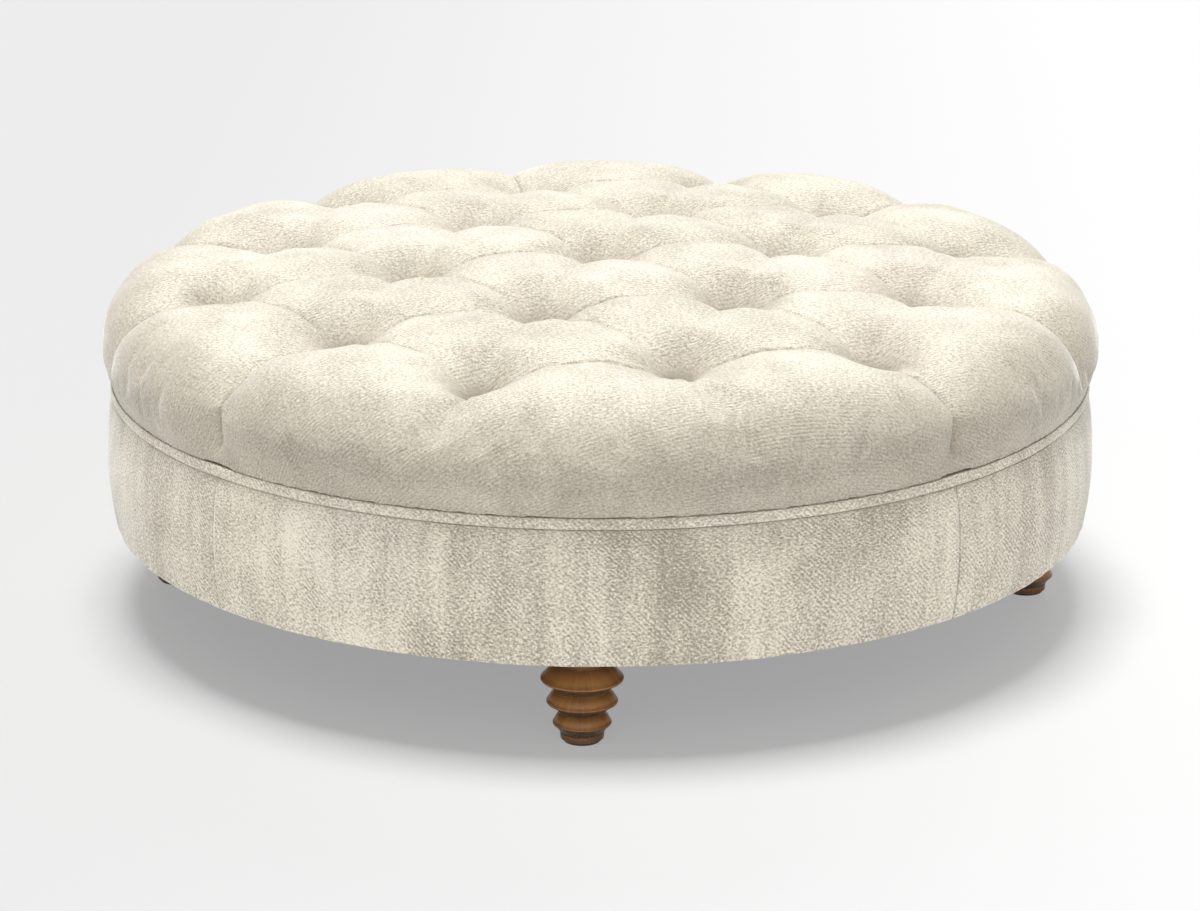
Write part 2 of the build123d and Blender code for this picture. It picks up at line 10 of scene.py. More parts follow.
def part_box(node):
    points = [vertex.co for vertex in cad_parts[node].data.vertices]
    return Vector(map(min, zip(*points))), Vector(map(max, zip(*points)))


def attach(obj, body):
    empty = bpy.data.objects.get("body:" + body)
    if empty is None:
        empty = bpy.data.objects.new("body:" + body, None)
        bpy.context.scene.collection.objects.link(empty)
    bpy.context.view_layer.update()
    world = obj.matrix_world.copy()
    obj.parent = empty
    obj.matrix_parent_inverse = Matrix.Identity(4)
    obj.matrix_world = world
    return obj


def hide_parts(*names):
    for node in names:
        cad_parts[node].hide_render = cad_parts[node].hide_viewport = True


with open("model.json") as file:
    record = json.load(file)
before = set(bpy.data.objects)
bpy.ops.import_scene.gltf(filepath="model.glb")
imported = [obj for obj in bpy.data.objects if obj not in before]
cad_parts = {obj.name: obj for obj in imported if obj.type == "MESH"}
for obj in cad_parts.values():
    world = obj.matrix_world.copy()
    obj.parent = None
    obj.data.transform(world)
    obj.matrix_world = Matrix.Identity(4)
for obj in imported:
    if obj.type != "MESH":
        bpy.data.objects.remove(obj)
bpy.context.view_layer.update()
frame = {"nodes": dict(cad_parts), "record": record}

bl_info = {
    "name": "Tufted Ottoman Table",
    "version": (1, 0, 0),
    "blender": (4, 5, 0),
    "location": "View3D > Sidebar > Ottoman",
    "description": "Upholstery, turned feet and finishes of a round tufted ottoman table",
    "category": "Object",
}

# Lengths are in metres. These sizes and places come from the frame
drum_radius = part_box("border_panel_1")[1].y
border_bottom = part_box("border_panel_1")[0].z
border_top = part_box("border_panel_1")[1].z
welt_low, welt_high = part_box("welt_cover")
cover_low, cover_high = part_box("seat_cover")
deck_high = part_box("deck_board")[1]
dust_low, dust_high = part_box("dust_cover")
foot_box_low, foot_box_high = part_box("foot_front")
crown_top = cover_high.z
seat_radius = cover_high.x
deck_top = deck_high.z
foot_sides = {"right": 0.0, "back": 90.0, "left": 180.0, "front": 270.0}
foot_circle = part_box("foot_right")[1].x - (foot_box_high.x - foot_box_low.x) / 2

# These are shared by several pieces
fabric_thickness = 0.0015
tuft_rings = 2


def length_setting(name, description, metres):
    """A length that a user may change."""
    return bpy.props.FloatProperty(name=name, description=description, default=metres, unit="LENGTH")


def length_settings(name, description, metres):
    """A row of such lengths, from the lowest place up."""
    return bpy.props.FloatVectorProperty(name=name, description=description, default=metres,
                                         size=len(metres), unit="LENGTH")


def angle_setting(name, description, radians):
    """An angle that a user may change."""
    return bpy.props.FloatProperty(name=name, description=description, default=radians, subtype="ANGLE")


def colour_setting(name, description, colour):
    """A colour that a user may change."""
    return bpy.props.FloatVectorProperty(name=name, description=description, default=colour, size=3,
                                         subtype="COLOR")


class SeatShape(bpy.types.PropertyGroup):
    """Sizes of the tufted seat"""
    spacing: length_setting("Tuft spacing", "Distance between neighbouring tufts", 0.213)
    turn: angle_setting("Tuft turn", "Turn of the tuft lattice about the middle", math.radians(15))
    depth: length_setting("Tuft depth", "How far a button is drawn into the seat", 0.038)
    tuft_flat: length_setting("Tuft flat", "Radius of the flat under a button", 0.0125)
    pillow_radius: length_setting("Pillow radius", "Radius of the swelling beside a tuft", 0.065)
    shoulder: length_setting("Shoulder radius", "Radius of the crown's shoulder in profile", 0.072)
    shoulder_rise: length_setting("Shoulder rise", "Height of the seat's widest place over the deck", 0.0405)
    side: length_setting("Side radius", "Radius of the seat's drawn-in side in profile", 0.123)
    valley: length_setting("Valley depth", "Depth of the creased valley between two pillows", 0.009)
    saddle: length_setting("Saddle depth", "Depth of the uncreased dip across a pillow", 0.0065)
    valley_reach: length_setting("Valley reach", "How far a valley spreads to each side", 0.058)
    rise: length_setting("Pillow rise", "How far the pillows swell over the plain crown", -0.002)
    fold: length_setting("Fold depth", "Depth of the crisp fold along each pleat", 0.0032)
    swell: length_setting("Swell limit", "How far a point may move while the seat is puffed up", 0.008)
    grain: length_setting("Mesh size", "Edge length of the seat's mesh before it is subdivided", 0.006)


class BorderShape(bpy.types.PropertyGroup):
    """Sizes of the upholstered side"""
    barrel: length_setting("Barrel radius", "Radius of the swelling side in profile", 0.337)
    fold: length_setting("Lower fold", "Radius of the turn under the drum", 0.005)
    hem: length_setting("Hem radius", "Inner radius of the turned-under hem", 0.508)
    seam: length_setting("Seam depth", "How far the cloth dips at an upright seam", 0.0009)
    slit: angle_setting("Seam slit", "Angle left open between two panels, to each side of the seam", 0.00012)
    ripple: length_setting("Ripple", "Unevenness of the padded side", 0.0011)


class FootShape(bpy.types.PropertyGroup):
    """Sizes of a turned foot"""
    ring_radii: length_settings("Ring radii", "Radius of each ring", (0.0305, 0.037, 0.043))
    ring_heights: length_settings("Ring heights", "Height of each ring's edge", (0.020, 0.0435, 0.0685))
    groove_radii: length_settings("Groove radii", "Radius of the grooves between the rings", (0.022, 0.0265))
    groove_heights: length_settings("Groove heights", "Height of the grooves between rings", (0.031, 0.0555))
    base_radius: length_setting("Base radius", "Radius of the foot's lowest part", 0.0225)
    base_top: length_setting("Base top", "Height of the foot's lowest part", 0.0095)
    neck_radius: length_setting("Neck radius", "Radius of the neck under the drum", 0.024)
    neck_bottom: length_setting("Neck height", "Height at which the neck starts", 0.085)


class Finish(bpy.types.PropertyGroup):
    """Colours of the finishes, as linear values"""
    velvet_light: colour_setting("Velvet, raised", "Colour of pile that stands up", (0.875, 0.815, 0.675))
    # velvet_deep is the dark end of the velvet's random patches, and also the colour that painted shade
    # darkens the velvet towards
    velvet_deep: colour_setting("Velvet, pressed", "Colour of pile that lies down", (0.33, 0.295, 0.230))
    wood_light: colour_setting("Wood, light", "Light tone of the turned wood", (0.46, 0.215, 0.068))
    wood_dark: colour_setting("Wood, dark", "Dark tone of the turned wood", (0.24, 0.108, 0.034))


class Wire:
    """One socket of a net's nodes, on which Python's operators add Math nodes."""

    def __init__(self, net, socket):
        self.net = net
        self.socket = socket

    def __add__(self, other):
        return self.net.math("ADD", self, other)

    def __radd__(self, other):
        return self.net.math("ADD", other, self)

    def __sub__(self, other):
        return self.net.math("SUBTRACT", self, other)

    def __rsub__(self, other):
        return self.net.math("SUBTRACT", other, self)

    def __mul__(self, other):
        return self.net.math("MULTIPLY", self, other)

    def __rmul__(self, other):
        return self.net.math("MULTIPLY", other, self)


class Net:
    """The nodes of one material or world, from its coordinates to its surface."""

    def __init__(self, holder):
        self.holder = holder
        self.holder.use_nodes = True
        self.tree = holder.node_tree
        self.tree.nodes.clear()

    def node(self, kind, settings=None, values=None, output=0):
        """Any node, with its settings set first, then its sockets' values or links."""
        made = self.tree.nodes.new(kind)
        for name, value in (settings or {}).items():
            setattr(made, name, value)
        for key, value in (values or {}).items():
            if isinstance(value, Wire):
                self.tree.links.new(value.socket, made.inputs[key])
            else:
                made.inputs[key].default_value = value
        return Wire(self, made.outputs[output]) if made.outputs else None

    def math(self, operation, first, second):
        return self.node("ShaderNodeMath", {"operation": operation}, {0: first, 1: second})

    def object_place(self):
        return self.node("ShaderNodeTexCoord", output="Object")

    def attribute(self, name, output="Vector"):
        return self.node("ShaderNodeAttribute", {"attribute_name": name}, output=output)

    def uv(self, name):
        return self.node("ShaderNodeUVMap", {"uv_map": name})

    def stretched(self, place, scale, turn=0.0):
        """Coordinates scaled along their axes, after a turn about the third."""
        values = {"Vector": place, "Scale": scale, "Rotation": (0, 0, turn)}
        return self.node("ShaderNodeMapping", None, values)

    def noise(self, place, scale, detail=2.0, roughness=0.5, distortion=0.0):
        values = {"Vector": place, "Scale": scale, "Detail": detail, "Roughness": roughness,
                  "Distortion": distortion}
        return self.node("ShaderNodeTexNoise", None, values)

    def spread(self, wire, low, high, out_low=0.0, out_high=1.0):
        """A value brought from one range to another, with its ends held."""
        values = {0: wire, 1: low, 2: high, 3: out_low, 4: out_high}
        return self.node("ShaderNodeMapRange", {"clamp": True}, values)

    def held(self, wire):
        """A value kept between 0 and 1."""
        return self.node("ShaderNodeClamp", None, {"Value": wire})

    def blend(self, factor, first, second):
        """Two colours mixed by a value."""
        values = {0: factor, 6: self.colour(first), 7: self.colour(second)}
        return self.node("ShaderNodeMix", {"data_type": "RGBA", "blend_type": "MIX"}, values, output=2)

    def colour(self, value):
        return value if isinstance(value, Wire) else (*value, 1.0)

    def bump(self, height, strength, distance):
        values = {"Height": height, "Strength": strength, "Distance": distance}
        return self.node("ShaderNodeBump", None, values)

    def surface(self, colour, roughness, normal, **constants):
        """The finished material, with the constants' names as the sockets' in small letters."""
        values = {"Base Color": self.colour(colour), "Roughness": roughness, "Normal": normal}
        for name, value in constants.items():
            values[name.replace("_", " ").title().replace("Ior", "IOR")] = value
        shader = self.node("ShaderNodeBsdfPrincipled", None, values)
        self.node("ShaderNodeOutputMaterial", None, {"Surface": shader})
        return self.holder


def new_net(name):
    return Net(bpy.data.materials.new(name))


def swing(wire, strength):
    """A pattern that runs from 0 to 1, as a swing to both sides of 0."""
    return (wire - 0.5) * strength


def velvet(name, light, deep, twill_turn, ribbed, streaks=0.0):
    """Cream chenille with a slanting, broken weave, brushed into paler and darker patches, and darkened where
    its fold_shade attribute paints shade.
    """
    net = new_net(name)
    cloth = net.uv("weave")
    painted_shade = net.attribute("fold_shade", "Fac")
    patches = net.noise(cloth, scale=6.5, detail=3.0, roughness=0.55, distortion=0.7)
    blotches = net.noise(cloth, scale=24.0, detail=3.0, roughness=0.62, distortion=0.4)
    twill = net.stretched(cloth, (1.0, 1.9, 1.0), twill_turn)
    flecks = net.noise(twill, scale=225.0, detail=3.0, roughness=0.72)
    pile = net.noise(cloth, scale=420.0, detail=2.0, roughness=0.7)
    rows = {"Vector": net.stretched(cloth, (1.0, 1.0, 1.0), twill_turn), "Scale": 78.0,
            "Distortion": 2.2, "Detail": 3.0, "Detail Scale": 2.2}
    rib = net.node("ShaderNodeTexWave", {"wave_type": "BANDS", "bands_direction": "Y"}, rows, output="Fac")
    kept = net.noise(cloth, scale=17.0, detail=3.0, roughness=0.6)
    rib_strength = net.spread(kept, low=0.44, high=0.60, out_low=0.06, out_high=ribbed)
    grit = 1.0 + 0.3 * streaks
    tone = 0.5 + swing(patches, 0.7) + swing(blotches, 0.6)
    tone = tone + swing(flecks, 2.5 * grit) + swing(pile, 1.7 * grit)
    tone = tone + swing(rib, rib_strength)
    if streaks:
        broad = net.noise(net.stretched(cloth, (10.0, 1.7, 1.0)), scale=1.0)
        narrow = net.noise(net.stretched(cloth, (48.0, 5.0, 1.0)), scale=1.0)
        tone = tone + swing(broad, 1.1 * streaks) + swing(narrow, 0.8 * streaks)
    # Painted shade: the fold_shade attribute draws the tone towards the deep colour in the fold lines, the
    # tufts' hollows, on the seat's side, along the welt's lower edge, at the side's top edge and seams, and
    # on the buttons
    painted_shade_strength = 0.95
    tone = net.held(tone * (1.0 - painted_shade * painted_shade_strength))
    pink = net.spread(net.noise(cloth, scale=4.3), low=0.46, high=0.66, out_low=0.0, out_high=0.7)
    pink_light = (light[0], light[1] * 0.955, light[2] * 1.01)
    colour = net.blend(tone, deep, net.blend(pink, light, pink_light))
    height = flecks * 0.6 + pile * 0.25 + rib * rib_strength
    normal = net.bump(height, strength=0.6, distance=0.0013)
    rough = net.spread(tone, low=0.0, high=1.0, out_low=0.80, out_high=0.58)
    return net.surface(colour, rough, normal, sheen_weight=0.5, sheen_roughness=0.35,
                       sheen_tint=(1.0, 0.995, 0.96, 1.0), specular_ior_level=0.5)


def turned_wood(name, light, dark):
    """Warm brown wood with its grain up the turning, stain and painted shade in the grooves, and painted
    shade on the under slopes, at the neck and on the base.
    """
    net = new_net(name)
    grain = net.attribute("grain_place")
    groove = net.attribute("groove_shade", "Fac")
    along = net.stretched(grain, (420.0, 420.0, 26.0))
    streaks = net.noise(along, scale=1.0, detail=3.0, roughness=0.65, distortion=0.4)
    along = net.stretched(grain, (60.0, 60.0, 9.0))
    bands = net.noise(along, scale=1.0, distortion=0.8)
    speckle = net.noise(net.object_place(), scale=900.0, roughness=0.6)
    tone = net.spread(streaks, low=0.28, high=0.74) * 0.62 + net.spread(bands, low=0.3, high=0.7) * 0.38
    speckled_stain_and_shade = net.spread(speckle, low=0.34, high=0.62, out_low=0.35, out_high=1.15)
    # Near black: stain and painted shade in the grooves, painted shade on the under slopes, at the neck and
    # on the base
    stain_and_shade_colour = (0.016, 0.012, 0.010)
    colour = net.blend(net.held(groove * speckled_stain_and_shade), net.blend(tone, dark, light), stain_and_shade_colour)
    normal = net.bump(streaks + speckle * 0.3, strength=0.25, distance=0.0004)
    rough = net.spread(streaks, low=0.2, high=0.8, out_low=0.42, out_high=0.30)
    return net.surface(colour, rough, normal, coat_weight=0.07, coat_roughness=0.3, specular_ior_level=0.3)


def sawn_timber(name, light, dark, stretch):
    """Plain frame timber or board with long grain."""
    net = new_net(name)
    place = net.object_place()
    along = net.stretched(place, stretch)
    grain = net.noise(along, scale=1.0, detail=4.0, roughness=0.62, distortion=1.2)
    fine_share = 6.0
    along = net.stretched(place, tuple(fine_share * share for share in stretch))
    fibre = net.noise(along, scale=1.0, roughness=0.6)
    tone = net.spread(grain, low=0.3, high=0.72) * 0.7 + net.spread(fibre, low=0.3, high=0.7) * 0.3
    normal = net.bump(grain + fibre * 0.4, strength=0.25, distance=0.0006)
    rough = net.spread(fibre, low=0.3, high=0.7, out_low=0.62, out_high=0.8)
    return net.surface(net.blend(tone, dark, light), rough, normal)


def plain_grained(name, light, dark, scale, roughness, metallic=0.0, bump=0.2):
    """A small part's finish: one colour with a fine, uneven grain."""
    net = new_net(name)
    place = net.object_place()
    fine = net.noise(place, scale, detail=3.0, roughness=0.6)
    broad = net.noise(place, scale * 0.12)
    tone = net.spread(fine, low=0.3, high=0.7) * 0.6 + net.spread(broad, low=0.3, high=0.7) * 0.4
    rough = net.spread(fine, low=0.3, high=0.7, out_low=roughness, out_high=min(1.0, roughness + 0.15))
    normal = net.bump(fine, bump, distance=0.0004)
    return net.surface(net.blend(tone, dark, light), rough, normal, metallic=metallic)


# Light and dark colour of each plain finish, with its grain's scale and its other looks
plain_finishes = {
    "hardboard": dict(light=(0.27, 0.16, 0.08), dark=(0.18, 0.10, 0.05), scale=700.0, roughness=0.55),
    "foam": dict(light=(0.86, 0.80, 0.52), dark=(0.72, 0.64, 0.36), scale=900.0, roughness=0.85, bump=0.5),
    "wadding": dict(light=(0.92, 0.92, 0.90), dark=(0.76, 0.76, 0.74), scale=500.0, roughness=0.9, bump=0.6),
    "card": dict(light=(0.50, 0.40, 0.27), dark=(0.38, 0.29, 0.18), scale=800.0, roughness=0.8),
    "tape": dict(light=(0.80, 0.78, 0.72), dark=(0.62, 0.60, 0.54), scale=900.0, roughness=0.85),
    "twine": dict(light=(0.72, 0.66, 0.52), dark=(0.50, 0.44, 0.32), scale=1500.0, roughness=0.8, bump=0.5),
    "felt": dict(light=(0.35, 0.34, 0.33), dark=(0.22, 0.21, 0.20), scale=1100.0, roughness=0.95, bump=0.5),
    "cambric": dict(light=(0.055, 0.055, 0.058), dark=(0.028, 0.028, 0.030), scale=1300.0, roughness=0.88,
                    bump=0.5),
    "glide_plastic": dict(light=(0.10, 0.085, 0.07), dark=(0.06, 0.05, 0.042), scale=300.0, roughness=0.45),
    "zinc_steel": dict(light=(0.72, 0.73, 0.74), dark=(0.52, 0.53, 0.55), scale=600.0, roughness=0.28,
                       metallic=1.0),
}
timber_finishes = {
    "frame_timber": dict(light=(0.62, 0.43, 0.24), dark=(0.40, 0.25, 0.12), stretch=(60.0, 60.0, 5.0)),
    "plywood": dict(light=(0.66, 0.49, 0.30), dark=(0.45, 0.30, 0.16), stretch=(6.0, 48.0, 240.0)),
}


def make_finishes():
    """Every material, by the name of the slot that it finishes."""
    tones = bpy.context.scene.ottoman_finish
    light = tuple(tones.velvet_light)
    deep = tuple(tones.velvet_deep)
    # The seat and its buttons get a darker copy of the side's velvet: painted shade, so that the crown looks
    # darker than the side under the same light
    seat_shaded_light_share = 0.92
    seat_shaded_deep_share = 0.90
    shaded_seat_light = tuple(seat_shaded_light_share * tone for tone in light)
    shaded_seat_deep = tuple(seat_shaded_deep_share * tone for tone in deep)
    border_turn = math.radians(46)
    made = {
        "seat_velvet": velvet("seat_velvet", shaded_seat_light, shaded_seat_deep, math.radians(-22), ribbed=0.28),
        "border_velvet": velvet("border_velvet", light, deep, border_turn, ribbed=0.42, streaks=0.9),
        "welt_velvet": velvet("welt_velvet", light, deep, border_turn, ribbed=0.3, streaks=0.4),
        "button_velvet": velvet("button_velvet", shaded_seat_light, shaded_seat_deep, math.radians(20), ribbed=0.2),
        "turned_wood": turned_wood("turned_wood", tuple(tones.wood_light), tuple(tones.wood_dark)),
    }
    for name, looks in timber_finishes.items():
        made[name] = sawn_timber(name, **looks)
    for name, looks in plain_finishes.items():
        made[name] = plain_grained(name, **looks)
    return made


def turned_mesh(outline, steps, angle=2 * math.pi, start=0.0):
    """A bmesh spun about the upright axis from an outline of radii and heights."""
    same = 1e-6
    bm = bmesh.new()
    turn = Matrix.Rotation(start, 3, "Z")
    verts = [bm.verts.new(turn @ Vector((radius, 0.0, height))) for radius, height in outline]
    edges = [bm.edges.new(pair) for pair in zip(verts, verts[1:])]
    whole = abs(angle - 2 * math.pi) < same
    bmesh.ops.spin(bm, geom=verts + edges, cent=(0, 0, 0), axis=(0, 0, 1), angle=angle, steps=steps,
                   use_merge=whole)
    bmesh.ops.remove_doubles(bm, verts=bm.verts, dist=same)
    bmesh.ops.recalc_face_normals(bm, faces=bm.faces)
    return bm


def arc_points(centre, radius, first, last, count):
    """Points of an arc in the radius-height plane, with angles in degrees."""
    points = []
    for index in range(count + 1):
        angle = math.radians(first + (last - first) * index / count)
        points.append((centre[0] + radius * math.cos(angle), centre[1] + radius * math.sin(angle)))
    return points


def new_object(name, bm):
    """An object at the origin that holds the bmesh."""
    mesh = bpy.data.meshes.new(name)
    bm.to_mesh(mesh)
    bm.free()
    piece = bpy.data.objects.new(name, mesh)
    bpy.context.scene.collection.objects.link(piece)
    return piece


def finish_piece(piece, slot, *nodes):
    """Smooth shading, the slot's material, the body and the nodes that the piece stands for."""
    piece.data.polygons.foreach_set("use_smooth", [True] * len(piece.data.polygons))
    piece.data.materials.clear()
    piece.data.materials.append(finishes[slot])
    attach(piece, "root")
    if nodes:
        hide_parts(*nodes)


def apply_modifiers(piece):
    """Replace the piece's mesh by what its modifiers make of it."""
    graph = bpy.context.evaluated_depsgraph_get()
    settled = bpy.data.meshes.new_from_object(piece.evaluated_get(graph), preserve_all_data_layers=True,
                                              depsgraph=graph)
    piece.modifiers.clear()
    piece.data = settled


def thicken(piece, thickness):
    """Give a sheet of cloth its thickness, inwards from its outer face."""
    thick = piece.modifiers.new("cloth", "SOLIDIFY")
    thick.thickness = thickness
    thick.offset = -1
    apply_modifiers(piece)


def positions(mesh):
    places = np.empty(len(mesh.vertices) * 3)
    mesh.vertices.foreach_get("co", places)
    return places.reshape(-1, 3)


def set_positions(mesh, places):
    mesh.vertices.foreach_set("co", places.ravel())
    mesh.update()


def read_cloth_place(mesh):
    """Each point's place on the cloth laid flat, and whether it lies on the cloth at all."""
    values = np.empty(len(mesh.vertices) * 3)
    mesh.attributes["cloth_place"].data.foreach_get("vector", values)
    values = values.reshape(-1, 3)
    return values[:, :2], values[:, 2] > 0.5


def write_vectors(mesh, name, values):
    layer = mesh.attributes.new(name, "FLOAT_VECTOR", "POINT")
    layer.data.foreach_set("vector", np.asarray(values, float).ravel())


def write_numbers(mesh, name, values):
    layer = mesh.attributes.new(name, "FLOAT", "POINT")
    layer.data.foreach_set("value", np.asarray(values, float))


def corner_vertices(mesh):
    """The vertex at each corner of each face."""
    corners = np.empty(len(mesh.loops), int)
    mesh.loops.foreach_get("vertex_index", corners)
    return corners


def write_weave(mesh, places):
    """Give the cloth its own UV map, in metres along and across it, from a place for each vertex."""
    layer = mesh.uv_layers.new(name="weave")
    layer.data.foreach_set("uv", np.asarray(places)[corner_vertices(mesh), :2].ravel())


def write_round_weave(mesh, girth):
    """The same for a band about the upright axis: round it by angle, and up it by height and radius."""
    places = positions(mesh)
    corners = corner_vertices(mesh)
    radii, angles = polar(places)
    angles = angles[corners]
    starts = np.empty(len(mesh.polygons), int)
    totals = np.empty(len(mesh.polygons), int)
    mesh.polygons.foreach_get("loop_start", starts)
    mesh.polygons.foreach_get("loop_total", totals)
    first = np.repeat(angles[starts], totals)
    angles = first + (angles - first + math.pi) % (2 * math.pi) - math.pi
    across = places[corners, 2] - radii[corners]
    layer = mesh.uv_layers.new(name="weave")
    layer.data.foreach_set("uv", np.stack([angles * girth, across], 1).ravel())


def polar(places):
    """Radius and angle about the upright axis."""
    return np.hypot(places[:, 0], places[:, 1]), np.arctan2(places[:, 1], places[:, 0])


def level_directions(angles):
    """Level directions away from the upright axis."""
    return np.stack([np.cos(angles), np.sin(angles), np.zeros(len(angles))], 1)


def smooth_step(values, low, high):
    share = np.clip((values - low) / (high - low), 0, 1)
    return share * share * (3 - 2 * share)


def hill(values, middle, width):
    """A smooth hill, 1 high at its middle and nearly gone two widths away."""
    return np.exp(-((values - middle) / width) ** 2)


def soft_noise(places, scale, seed):
    """Smooth seeded noise between about -1 and 1 at each place."""
    shift = Vector((seed * 7.13, seed * 3.71, seed * 5.37))
    return np.array([noise.noise(Vector(place) * scale + shift) for place in places])


def unevenness(places, waves):
    """The sum of several such noises, each with its scale, its seed and its height."""
    return sum(soft_noise(places, scale, seed) * height for scale, seed, height in waves)


class CrownOutline:
    """The seat before tufting, as one path from its middle over the shoulder down to its seam."""

    middle_margin = 0.0055

    def __init__(self, shape):
        self.flat = shape.spacing / 2 + self.middle_margin
        self.shoulder_radius = shape.shoulder
        self.side_radius = shape.side
        self.shoulder_height = deck_top + shape.shoulder_rise
        self.shoulder_centre = seat_radius - self.shoulder_radius
        self.side_centre = seat_radius - self.side_radius
        run = self.shoulder_centre - self.flat
        drop = crown_top - self.shoulder_height
        self.slope = math.atan2(drop, run) - math.asin(self.shoulder_radius / math.hypot(run, drop))
        cone_end = self.shoulder_centre + self.shoulder_radius * math.sin(self.slope)
        self.cone_length = self.flat + (cone_end - self.flat) / math.cos(self.slope)
        self.shoulder_length = self.cone_length + self.shoulder_radius * (math.pi / 2 - self.slope)
        self.side_angle = math.asin((self.shoulder_height - deck_top) / self.side_radius)
        self.length = self.shoulder_length + self.side_radius * self.side_angle
        self.seam_radius = self.side_centre + self.side_radius * math.cos(self.side_angle)

    def length_of(self, radii, heights):
        """How far along the path the places with these radii and heights lie."""
        cone = self.flat + (radii - self.flat) / math.cos(self.slope)
        lengths = np.where(radii < self.flat, radii, cone)
        angle = np.arctan2(heights - self.shoulder_height, radii - self.shoulder_centre)
        turned = self.cone_length + self.shoulder_radius * (math.pi / 2 - self.slope - angle)
        over = (radii > self.shoulder_centre) & (angle < math.pi / 2 - self.slope) & (angle >= 0)
        lengths = np.where(over, turned, lengths)
        angle = np.arctan2(self.shoulder_height - heights, radii - self.side_centre)
        side = heights < self.shoulder_height
        return np.where(side, self.shoulder_length + self.side_radius * angle, lengths)

    def at(self, lengths):
        """Radius, height and outward direction of the path at these lengths."""
        radii = lengths.copy()
        heights = np.full_like(lengths, crown_top)
        lean = np.full_like(lengths, math.pi / 2)
        cone = lengths > self.flat
        radii[cone] = self.flat + (lengths[cone] - self.flat) * math.cos(self.slope)
        heights[cone] = crown_top - (lengths[cone] - self.flat) * math.sin(self.slope)
        lean[cone] = math.pi / 2 - self.slope
        over = lengths > self.cone_length
        lean[over] = math.pi / 2 - self.slope - (lengths[over] - self.cone_length) / self.shoulder_radius
        radii[over] = self.shoulder_centre + self.shoulder_radius * np.cos(lean[over])
        heights[over] = self.shoulder_height + self.shoulder_radius * np.sin(lean[over])
        side = lengths > self.shoulder_length
        lean[side] = -(lengths[side] - self.shoulder_length) / self.side_radius
        radii[side] = self.side_centre + self.side_radius * np.cos(lean[side])
        heights[side] = self.shoulder_height + self.side_radius * np.sin(lean[side])
        return radii, heights, lean


def tuft_lattice(shape):
    """Places of the tufts on the cloth laid flat, by their two steps along the lattice."""
    places = {}
    steps_out = range(-tuft_rings, tuft_rings + 1)
    for i in steps_out:
        for j in steps_out:
            if abs(i + j) <= tuft_rings:
                x = shape.spacing * (i + j / 2)
                y = shape.spacing * j * math.sqrt(3) / 2
                place = Matrix.Rotation(shape.turn, 2) @ Vector((x, y))
                places[i, j] = np.array(place)
    return places


class Pleat:
    """One valley of the cloth laid flat, from a tuft to the next tuft or to the cover's edge."""

    # Hills across the fold that is pressed along a pleat: share of its depth, place and width
    grooves = ((1.0, 0.0, 0.0021), (0.16, 0.0085, 0.0016))
    lips = ((0.42, 0.0048, 0.0034), (0.20, -0.0058, 0.004))

    def __init__(self, start, end, depth, reach, fold, fade=0.0, between_tufts=False):
        self.start = start
        self.depth = depth
        self.reach = reach
        self.fold = fold
        self.fade = fade
        self.between_tufts = between_tufts
        self.length = np.linalg.norm(end - start)
        self.along = (end - start) / self.length
        self.side = np.array((-self.along[1], self.along[0]))

    def beside(self, places):
        """Share of each place along the pleat, its distance across it, and how far it lies past an end."""
        offset = places - self.start
        run = offset @ self.along
        share = np.clip(run / self.length, 0, 1)
        across = offset[:, 0] * -self.along[1] + offset[:, 1] * self.along[0]
        beyond = np.maximum(run - self.length, 0) + np.maximum(-run, 0)
        return share, across, beyond

    def faded(self, share):
        """0 along the pleat, and rising to 1 over the stretch in which it fades."""
        return smooth_step(share * self.length, self.length - self.fade, self.length)

    def hills(self, across, profile):
        return sum(share * hill(across, middle, width) for share, middle, width in profile)


def seat_pleats(shape, outline):
    """Every pleat and every uncreased dip, those between tufts and those that run down the side."""
    tufts = tuft_lattice(shape)
    uncreased = (0, 1)
    pleats = []
    for (i, j), place in tufts.items():
        for step in ((1, 0), uncreased, (-1, 1)):
            other = tufts.get((i + step[0], j + step[1]))
            if other is not None:
                creased = step != uncreased
                depth = shape.valley if creased else shape.saddle
                pleats.append(Pleat(place, other, depth, shape.valley_reach, shape.fold * creased,
                                    between_tufts=True))
        if max(abs(i), abs(j), abs(i + j)) == tuft_rings:
            pleats.append(side_pleat(shape, outline, place))
    return pleats


def side_pleat(shape, outline, place):
    """The pleat from an outer tuft over the shoulder: short beside the front foot, or down to the seam."""
    away = place / np.linalg.norm(place)
    angle = math.degrees(math.atan2(place[1], place[0])) % 360
    at_seam = abs(angle % 90 - 45) < 1
    beside_front = abs(abs(angle - foot_sides["front"]) - 15) < 1
    if beside_front:
        short_length = 0.100
        end = place + away * short_length
        return Pleat(place, end, depth=0.0120, reach=0.070, fold=shape.fold * 0.6, fade=0.085)
    end = away * outline.length
    if at_seam:
        return Pleat(place, end, depth=0.0165, reach=0.085, fold=shape.fold * 0.8)
    return Pleat(place, end, depth=0.0165, reach=0.085, fold=shape.fold * 1.1, fade=0.06)


